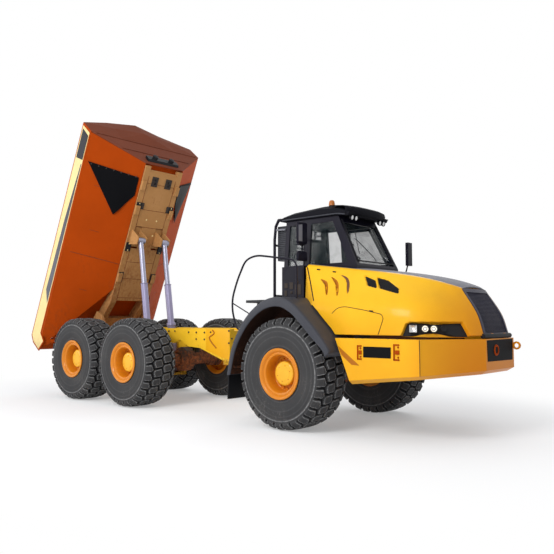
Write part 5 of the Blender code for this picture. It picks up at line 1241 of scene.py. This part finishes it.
for side_name, side in SIDES:
    beads = []
    for x, places, radius in ((-4.78, (0.56, 1.0, 1.48), 0.007), (-3.10, (1.20, 1.34), 0.005),
                              (-5.62, (1.02, 1.16), 0.005), (-4.15, (1.06, 1.24), 0.005)):
        beads.append(bead([(x, y * side, under(y, 0.001)) for y in places], radius))
    beads.insert(1, bead([(-2.30, 0.553 * side, 1.705), (-5.40, 0.553 * side, 1.705)]))
    piece(f"body_side_welds_{side_name}", beads, "dump_body", SEAM_BROWN)
beads = [bead([(x, -0.395, BELLY_Z), (x, 0.395, BELLY_Z)], 0.005)
         for x in (-2.72, -3.36, -3.79, -4.69, -5.12, -5.62)]
beads += [bead([(-2.55, y, BELLY_Z), (-5.68, y, BELLY_Z)], 0.005) for y in (-0.401, 0.401)]
piece("body_belly_welds", beads, "dump_body", SEAM_BROWN)
ribs = []
for z, wide in ((2.10, 1.00), (2.50, 1.50)):
    x = -2.26 + (z - 1.70) * FRONT_LEAN
    ribs.append(placed(block((x - 0.004, -wide, z), (x + 0.018, wide, z + 0.05), 0.008), raised))
piece("body_front_ribs", ribs, "dump_body", BODY_BROWN)
print("welds:", len(beads) + 10)


# %% Gussets that close the tail's corners, and the lip between the slope and the rail
def bilinear(corners, s, t):
    """Grid between four corners: two shares along s mixed by two shares along t."""
    a, b, c, d = np.asarray(corners, float)
    s, t = s[..., None], t[..., None]
    return (1 - s) * (1 - t) * a + s * (1 - t) * b + (1 - s) * t * c + s * t * d


GUSSET = ((-7.035, 1.612), (-7.035, 1.30), (-7.345, 1.612), (-7.20, 1.50))
for side_name, side in SIDES:
    lip = extruded([(-1.94, 2.536), (-1.94, 2.562), (-6.95, 2.622), (-7.02, 2.60), (-7.02, 2.536)],
                   *sorted((1.604 * side, 1.614 * side)), chamfer=0.001)
    piece(f"body_lower_lip_{side_name}", [placed(lip, raised)], "dump_body", BODY_ORANGE)
    s, t = np.meshgrid(np.linspace(0, 1, 8), np.linspace(0, 1, 8), indexing="ij")
    x, y = np.moveaxis(bilinear(GUSSET, s, t), -1, 0)
    low = np.stack([x, y * side, under(y, 0.012 * t)], -1)
    gusset = slab(raised(low), raised(low + (0, 0, 0.02)))
    piece(f"body_tail_gusset_{side_name}", [gusset], "dump_body", BODY_ORANGE)

# %% Pads, hooks and brackets under the belly
dark, steel, bolts = [], [], []
for side in (-1, 1):
    for x, long in ((-4.42, 0.22), (-5.20, 0.24), (-3.36, 0.16)):
        dark.append(box_between((x, x + long), (0.405 * side, 0.545 * side), (1.645, 1.672), 0.006, raised))
        for dx in (0.03, long - 0.03):
            spot = raised((x + dx, 0.475 * side, 1.645))
            bolts.append(stud(spot, turned_down, 0.012, 0.016, 10, rim=0.004))
    a = np.linspace(0, 2 * np.pi, 13)
    hook = np.stack([-2.66 + 0.055 * np.cos(a), np.full(13, 0.20 * side), 1.640 + 0.030 * np.sin(a)], 1)
    dark.append(tube(raised(hook), 0.012, 8))
    for xs, ys, z in (((-2.78, -2.54), (0.11, 0.29), 1.655), ((-3.36, -3.20), (0.34, 0.40), 1.640)):
        steel.append(box_between(xs, np.multiply(ys, side), (z, 1.671), 0.006, raised))
    for x in (-3.60, -3.98):
        bolts.append(stud(raised((x, 0.15 * side, 1.670)), turned_down, 0.014, 0.022, 12))
piece("body_belly_pads", dark, "dump_body", FLAP)
piece("body_belly_brackets", steel, "dump_body", MUD_STEEL)
piece("body_belly_bolts", bolts, "dump_body", CREAM)
caps = [lathe([(0.0, 0.012), (0.040, 0.010), (0.048, 0.0), (0.066, -0.004), (0.067, -0.03)],
              raised((-2.26 + 0.15 * FRONT_LEAN + 0.12, y, 1.815)), rest_axis, 24) for y in (-0.24, 0.24)]
piece("body_rest_caps", caps, "dump_body", DARK)
print("belly fittings made")


# %% Rubber mudguards
def mudguard(side, thick=0.016):
    """Sheet between four corners below the side plate, sagging by sines away from its bolts."""
    s, t = np.meshgrid(np.linspace(0, 1, 26), np.linspace(0, 1, 26), indexing="ij")
    x, y = np.moveaxis(bilinear([(-2.60, 1.55), (-2.64, 0.62), (-3.64, 0.92), (-3.08, 0.62)], s, t), -1, 0)
    sag = 0.006 + 0.030 * t * (0.55 + 0.45 * np.sin(s * 5.0 + 0.6))
    sag += 0.010 * np.sin(s * np.pi) * np.sin(t * np.pi)
    near = np.stack([x, y * side, under(y, sag * 1.27)], -1)
    return slab(raised(near), raised(near - (0, 0, thick)))


for side_name, side in SIDES:
    studs = [stud(raised((-2.64, y * side, under(y, 0.032))), turned_down, 0.014, 0.020, 10)
             for y in 1.55 - 0.93 * np.linspace(0.06, 0.94, 7)]
    piece(f"body_rubber_mudguard_{side_name}", [mudguard(side)], "dump_body", GUARD, angle=50,
          stands_for=[f"body_mudguard_{side_name}"])
    piece(f"body_mudguard_studs_{side_name}", studs, "dump_body", MUD_STEEL)
print("mudguards made")

# %% [markdown]
# ## Hoists, rails and hitch
#
# Each hoist is a cylinder of two stages. A real one has a gland with a dark wiper ring where each
# stage slides in. Bolts in rows and a folded bracket dress the rear rails.

# %% Hoist rings and rail fittings
HOIST_FOOT, HOIST_TIP = (-5.05, 0.0, 0.65), (-4.06, 0.0, 1.42)
foot, head = at(HOIST_FOOT), raised(HOIST_TIP)
reach = np.linalg.norm(head - foot)
aim = (head - foot) / reach
closed = np.linalg.norm(np.subtract(HOIST_TIP, HOIST_FOOT))
stroke, barrel = (reach - closed) / 2, closed - 0.16
for side_name, side in SIDES:
    low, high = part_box(f"hoist_rod_{side_name}")
    for name, way, radius, deep in (("barrel", barrel, 0.095, 0.075),
                                    ("stage", stroke + barrel + 0.03, 0.078, 0.018)):
        ring = lathe([(radius + 0.002, -deep), (radius + 0.012, -deep * 0.9), (radius + 0.012, -0.010),
                      (radius + 0.004, -0.002), (radius - 0.014, 0.0)],
                     foot + aim * way + (0, (low.y + high.y) / 2, 0), aim, 40)
        piece(f"hoist_{name}_gland_{side_name}", [ring], f"hoist_{name}_{side_name}_body", HOIST)
print("hoist stroke of a stage:", round(float(stroke), 3))

# %% Bolts, folds and covers of the rear rails
bolts, folds, covers = [], [], []
for side_name, side in SIDES:
    for x, z in ((-3.31, 1.54), (-3.31, 1.40), (-3.06, 1.54), (-3.06, 1.40), (-2.87, 1.55), (-2.34, 1.58),
                 (-2.25, 1.43), (-2.34, 1.34), (-4.00, 1.56), (-4.20, 1.56), (-3.55, 1.54)):
        bolts.append(hexagon_nut(at((x + 0.12, 0.6245 * side, z)), 0.019, 0.016, (0, side, 0)))
    path = rounded_path([(-2.70, 1.592), (-2.63, 1.53), (-2.81, 1.44), (-2.72, 1.34), (-2.58, 1.23)], 0.05, 5)
    folds.append(tube(at(np.insert(path, 1, 0.628 * side, axis=1)), 0.014, 8))
    flat = [(-2.90, 1.612), (-2.90, 1.19), (-2.43, 1.05), (-2.21, 1.01), (-2.21, 1.612)]
    covers.append(placed(extruded(flat, *sorted((0.6203 * side, 0.6245 * side)), chamfer=0.001)))
piece("rail_front_covers", covers, "rear_frame", YELLOW)
piece("rail_bolts", bolts, "rear_frame", MUD_STEEL)
piece("rail_folds", folds, "rear_frame", SHADE_AND_FOLD_PAINT)
print("rail bolts:", len(bolts))

# %% [markdown]
# ## Cab
#
# The cab's shell and panes stay. Its roof gets raised ribs and a gutter, the brow gets its row of work
# lamps, and a warning beacon stands at the right. Mirrors, a wiper and rubber seals round the panes
# give it scale, and the seat is padded.

# %% Roof ribs, gutter, lamps and beacon
ribs = []
for y in np.linspace(-0.42, 0.42, 6):
    path = rounded_path([(-0.80, y, 3.733), (-0.55, y, 3.785), (0.05, y, 3.822), (0.38, y, 3.798)], 0.1, 4)
    ribs.append(tube(at(path), 0.016, 8))
gutter = [(0.66, -0.60, 3.605), (0.44, -0.632, 3.640), (-0.80, -0.632, 3.640), (-0.868, -0.56, 3.640)]
gutter += [(x, -y, z) for x, y, z in gutter[::-1]]
ribs.append(tube(at(rounded_path(gutter, 0.06, 5)), 0.014, 8))
piece("cab_roof_ribs", ribs, "front_frame", PLASTIC)
LAMP_SHELL = [(0.0, -0.055), (0.034, -0.050), (0.047, -0.015), (0.048, 0.008), (0.042, 0.010)]
lens, shells = [], []
out = (1.0, 0.0, -0.25)
for y in (-0.50, -0.38, 0.38, 0.50):
    spot = at((0.672, y, 3.560))
    shells.append(lathe(LAMP_SHELL, spot, out, 24))
    lens.append(lathe([(0.0, 0.008), (0.025, 0.006), (0.041, 0.001)], spot, out, 24))
    shells.append(box_between((0.640, 0.668), (y - 0.010, y + 0.010), (3.565, 3.620), 0.003))
piece("work_lamp_shells", shells, "front_frame", DARK)
piece("work_lamp_faces", lens, "front_frame", REFLECTOR, solid=False)
spot = at((0.20, -0.45, 3.80))
globe = [(0.0, 0.125), (0.030, 0.122), (0.047, 0.105), (0.055, 0.06), (0.056, 0.025), (0.052, 0.022)]
piece("beacon_lens", [lathe(globe, spot, UP, 32)], "front_frame", AMBER)
piece("beacon_foot", [lathe([(0.052, 0.024), (0.060, 0.018), (0.062, -0.01), (0.040, -0.03)], spot, UP, 32)],
      "front_frame", DARK)
y = np.linspace(-0.636, 0.636, 41)
front = 0.735 - 0.11 * np.abs(y / 0.636) ** 3
profile = ((-0.33, 3.802), (-0.06, 3.772), (-0.012, 3.745), (0.0, 3.705), (-0.012, 3.612))
visor = np.stack([np.stack([front + back, y, np.full(41, z)], -1) for back, z in profile], 1)
piece("cab_roof_visor", [(at(visor), grid_faces(41, 5)[:, ::-1])], "front_frame", ROOF, wall=0.012)
print("roof dressed")


# %% Wiper, seals, mirror faces and the plate on the cabinet
BELT_X, BELT_Z, BROW_X, BROW_Z = 0.872, 2.72, 0.43, 3.62


def screen(y, z, lift=0.0):
    """Place on the windscreen: its plane leans from the belt's front to the brow's."""
    t = (z - BELT_Z) / (BROW_Z - BELT_Z)
    return np.array([BELT_X + (BROW_X - BELT_X) * t + lift, y, z + lift * 0.5])


def thin_plate(flat, low, high, **how):
    """Outline pushed from low to high, measured from the front axle."""
    return placed(extruded(flat, low, high, **how))


arm = [screen(*spot) for spot in ((-0.06, 2.80, 0.03), (-0.10, 2.86, 0.045), (-0.36, 3.14, 0.03),
                                  (-0.42, 3.20, 0.018))]
blade = np.linspace(screen(-0.30, 3.32, 0.012), screen(-0.46, 2.92, 0.012), 8)
shapes = [tube(at(rounded_path(arm, 0.05, 4)), 0.007, 8), tube(at(blade), 0.006, 6)]
for y in (-0.565, 0.565):
    shapes.append(tube(at([screen(y * 1.02, 2.80, 0.004), screen(y * 0.94, 3.55, 0.004)]), 0.012, 6))
shapes.append(tube(at([screen(-0.565, 2.80, 0.004), screen(0.565, 2.80, 0.004)]), 0.012, 6))
piece("cab_wiper_and_seal", shapes, "front_frame", DARK)

face = thin_plate(rectangle(0.885, 1.015, 2.815, 3.215), 0.898, 0.8955, axis=0, chamfer=0.001)
piece("mirror_face_left", [face], "hood_body", MIRROR)
heads = [box_between((-0.105, -0.045), (-1.10, -0.83), heights, 0.02)
         for heights in ((3.12, 3.50), (2.82, 2.99))]
heads.append(tube(at([(-0.075, -0.90, 2.75), (-0.075, -0.90, 3.12)]), 0.012, 8))
piece("mirror_housings_right", heads, "front_frame", BLACK)
face = thin_plate([(-1.085, 3.16), (-0.985, 3.16), (-0.985, 3.46), (-1.085, 3.44)], -0.0448, -0.0430,
                  axis=0, chamfer=0.0005)
piece("mirror_glass_right", [face], "front_frame", SILVER)
CABINET_Y = -0.9305
sheet = thin_plate(rectangle(-0.535, -0.080, 2.50, 2.705), CABINET_Y, -0.9345, chamfer=0.001)
piece("cabinet_plate", [sheet], "front_frame", BLACK)
small = [thin_plate(rectangle(*edges), CABINET_Y, -0.9365, chamfer=0.002) for edges in (
    (-0.50, -0.42, 2.36, 2.45), (-0.38, -0.30, 2.34, 2.46), (-0.26, -0.12, 2.24, 2.42),
    (-0.50, -0.44, 2.22, 2.32))]
small += [stud(at((x, CABINET_Y, z)), (0, -1, 0), 0.012, 0.028, 16)
          for x, z in ((-0.34, 2.28), (-0.20, 2.46))]
piece("cabinet_details", small, "front_frame", MUD_STEEL)
slats = [tube(at([(-0.98, -0.5565, z), (-0.77, -0.5565, z)]), 0.006, 6) for z in np.arange(2.93, 3.53, 0.035)]
piece("air_box_slats", slats, "front_frame", DARK)
bars = [tube(at([(-1.03, -0.60 * turn, 3.485), (-0.76, -0.60 * turn, 3.47)]), 0.018, 10) for turn in (1, -1)]
piece("guard_crossbars", bars, "front_frame", SILVER)
print("cab details made")


# %% [markdown]
# ## Seat
#
# A cab's seat is foam under cloth, crowned and a little square. It could be a box with a bevel, but a
# sphere's formula with its sines flattened gives the crown and the seam in one step.

# %% Cushion and backrest
def power(value, p):
    """Size of a value raised to a power, with the value's sign."""
    return np.sign(value) * np.abs(value) ** p


def cushion(size, centre, tilt=0.0, rows=28, cols=40):
    """Padded block: a sphere's grid with its sines raised to a small power, so it is square but crowned."""
    a = np.linspace(-np.pi / 2, np.pi / 2, rows)[:, None]
    b = np.linspace(0, 2 * np.pi, cols, endpoint=False)[None]
    x = power(np.cos(a), 0.35) * power(np.cos(b), 0.35)
    y = power(np.cos(a), 0.35) * power(np.sin(b), 0.35)
    z = power(np.sin(a), 0.75) + 0 * b
    crown = 1 + 0.10 * (1 - x ** 2) * (1 - y ** 2)
    seam = 1 - 0.05 * np.exp(-(y / 0.06) ** 2) * (np.abs(z) > 0.3)
    p = np.stack([x * size[0], y * size[1], z * size[2] * crown * seam], -1).reshape(-1, 3)
    c, s = math.cos(tilt), math.sin(tilt)
    p = np.stack([p[:, 0] * c - p[:, 2] * s, p[:, 1], p[:, 0] * s + p[:, 2] * c], -1)
    return at(p + centre), grid_faces(rows, cols, wrap_cols=True)


seat = piece("seat_cushion", [cushion((0.235, 0.235, 0.058), (-0.215, 0, 2.612))], "front_frame",
             CLOTH, angle=60, stands_for=["seat"])
seat_back = piece("seat_backrest", [cushion((0.345, 0.235, 0.048), (-0.445, 0, 2.975), math.radians(98))],
                  "front_frame", CLOTH, angle=60)
piece("seat_pedestal", [box_between((-0.35, -0.08), (-0.15, 0.15), (2.212, 2.56), 0.03)], "front_frame", DARK)
print("seat made")

# %% [markdown]
# ## Step
#
# The step below the door is a bent tube with a small plate in it. The tube is a path with rounded
# corners, and its plate takes the same raised bars as the decks.

# %% Step on the left
hanger = [(1.40, 1.502, 1.16), (1.40, 1.60, 1.16), (1.40, 1.60, 0.93)]
hanger += [(3.25 - x, y, z) for x, y, z in hanger[::-1]]
y, x = np.meshgrid(np.linspace(1.505, 1.66, 14), np.linspace(1.41, 1.84, 40))
top = np.stack([x, y, 0.950 + raised_bars(x, y)], -1)
step = slab(at(top - (0, 0, 0.022)), at(top))
piece("access_step_left", [tube(at(rounded_path(hanger, 0.05, 5)), 0.018, 10), step], "front_frame",
      BLACK, stands_for=["access_left"])
print("step made")

# %% [markdown]
# ## Light, floor and camera
#
# The photograph was taken from the truck's right front, at about eye height. A camera fitted
# to the wheels gives the place and the lens. The floor is white to the camera and keeps the shadow.

# %% Camera
CAMERA_PLACE = (6.959, -9.583, 1.80)
CAMERA_YAW, CAMERA_PITCH = math.radians(41.44), math.radians(3.82)
scene = bpy.context.scene


def staged(name, data):
    """New object in the scene for a camera, a lamp or a mesh."""
    thing = bpy.data.objects.new(name, data)
    scene.collection.objects.link(thing)
    return thing


camera_data = bpy.data.cameras.new("camera")
camera_data.lens = 41.73
camera_data.sensor_width = 36.0
camera = staged("camera", camera_data)
camera.location = at(CAMERA_PLACE)
camera.rotation_euler = (math.pi / 2 + CAMERA_PITCH, 0.0, CAMERA_YAW)
scene.camera = camera


print("lens in mm:", round(camera_data.lens, 2))


# %% Lamps
def lamp(name, place, aim, size, power):
    """Square soft lamp, turned so that it shines from its place toward its aim."""
    data = bpy.data.lights.new(name, "AREA")
    data.size, data.energy = size, power
    thing = staged(name, data)
    thing.location = at(place)
    thing.rotation_euler = (Vector(at(aim)) - thing.location).to_track_quat("-Z", "Y").to_euler()


lamp("key", (1.2, -13.5, 9.5), (-1.5, 0, 2.0), 6.0, 1450)
lamp("fill", (-12.0, -9.0, 5.0), (-3.0, 0, 2.5), 8.0, 380)
lamp("rim", (-4.0, 12.0, 9.0), (-2.0, 0, 2.5), 8.0, 500)


print("lamps:", len(bpy.data.lights))


# %% World
def background_ray(tree):
    """1 for a ray that should meet white: from the camera, through glass or off a shiny face."""
    path = put(tree, "ShaderNodeLightPath").outputs
    seen = sums(tree, "MAXIMUM", path["Is Camera Ray"], path["Is Transmission Ray"])
    return sums(tree, "MAXIMUM", seen, path["Is Glossy Ray"])


WHITE = (1, 1, 1, 1)
scene.world = bpy.data.worlds.new("sky")
scene.world.use_nodes = True
tree = scene.world.node_tree
back = tree.nodes["Background"]
feed(tree, back, {0: (0.92, 0.95, 1.0, 1), 1: 0.62})
white = put(tree, "ShaderNodeBackground", {0: WHITE, 1: 1.0})
blend = put(tree, "ShaderNodeMixShader", {0: background_ray(tree), 1: back.outputs[0], 2: white.outputs[0]})
feed(tree, tree.nodes["World Output"], {0: blend.outputs[0]})

print("world made")

# %% Floor
FLOOR_HALF = 90
floor_mesh = bpy.data.meshes.new("floor")
floor_mesh.from_pydata([(x * FLOOR_HALF, y * FLOOR_HALF, 0) for x, y in ((-1, -1), (1, -1), (1, 1), (-1, 1))],
                       [], [(0, 1, 2, 3)])
floor = staged("floor", floor_mesh)
ground, tree, shader = blank("pale_floor")
feed(tree, shader, {"Roughness": 0.9, "Specular IOR Level": 0.1, "Base Color": (0.96, 0.96, 0.96, 1)})
seen = background_ray(tree)
place = put(tree, "ShaderNodeMapping", {"Vector": object_place(tree), "Location": (0.45, 0.0, 0.0),
                                        "Scale": (1.0, 1.35, 1.0)})
away = put(tree, "ShaderNodeVectorMath", {0: place.outputs[0]}, operation="LENGTH").outputs["Value"]
fade = sums(tree, "MULTIPLY", seen, ramp(tree, away, 5.0, 10.0, 0.28, 1.0))
white = put(tree, "ShaderNodeEmission", {0: WHITE, 1: 1.0})
both = put(tree, "ShaderNodeMixShader", {0: fade, 1: shader.outputs[0], 2: white.outputs[0]})
feed(tree, tree.nodes["Material Output"], {0: both.outputs[0]})
floor_mesh.materials.append(ground)
scene.view_settings.view_transform = "Standard"
print("floor made, view transform", scene.view_settings.view_transform)


# %% [markdown]
# ## Solids that stay
#
# The solids that no new surface stands for are seen as they are, so each gets its paint here.

# %% Finishes of the solids that stay
KEEP = {
    YELLOW: ["bumper"],
    RAIL_PAINT: ["rear_chassis"],
    MUD_STEEL: ["front_chassis", "front_axle", "hitch", "mid_axle", "rear_axle", "bogie_beams"],
    RUST: ["engine_block"],
    BODY_ORANGE: ["body_floor", "body_side_right", "body_side_left"],
    BODY_BROWN: ["body_front"],
    BODY_TAN: ["body_frame", "body_belly_plate"],
    FLAP: ["body_rest"],
    BLACK: ["cab_shell", "door_left", "rear_guard", "mirror_left"],
    PLASTIC: ["air_box"],
    ROOF: ["cab_roof"],
    BARREL: ["hoist_barrel_right", "hoist_barrel_left"],
    GLASS: ["windscreen", "rear_window", "side_window_right", "quarter_window_right", "door_glass_left"],
    HOIST: [f"{kind}_{side}" for kind in ("steer_barrel", "hoist_stage") for side in ("right", "left")],
    CHROME: [f"{kind}_{side}" for kind in ("steer_rod", "hoist_rod") for side in ("right", "left")],
}
for material, names in KEEP.items():
    for name in names:
        nodes[name].material_slots[0].material = material
print("solids painted:", sum(len(names) for names in KEEP.values()))
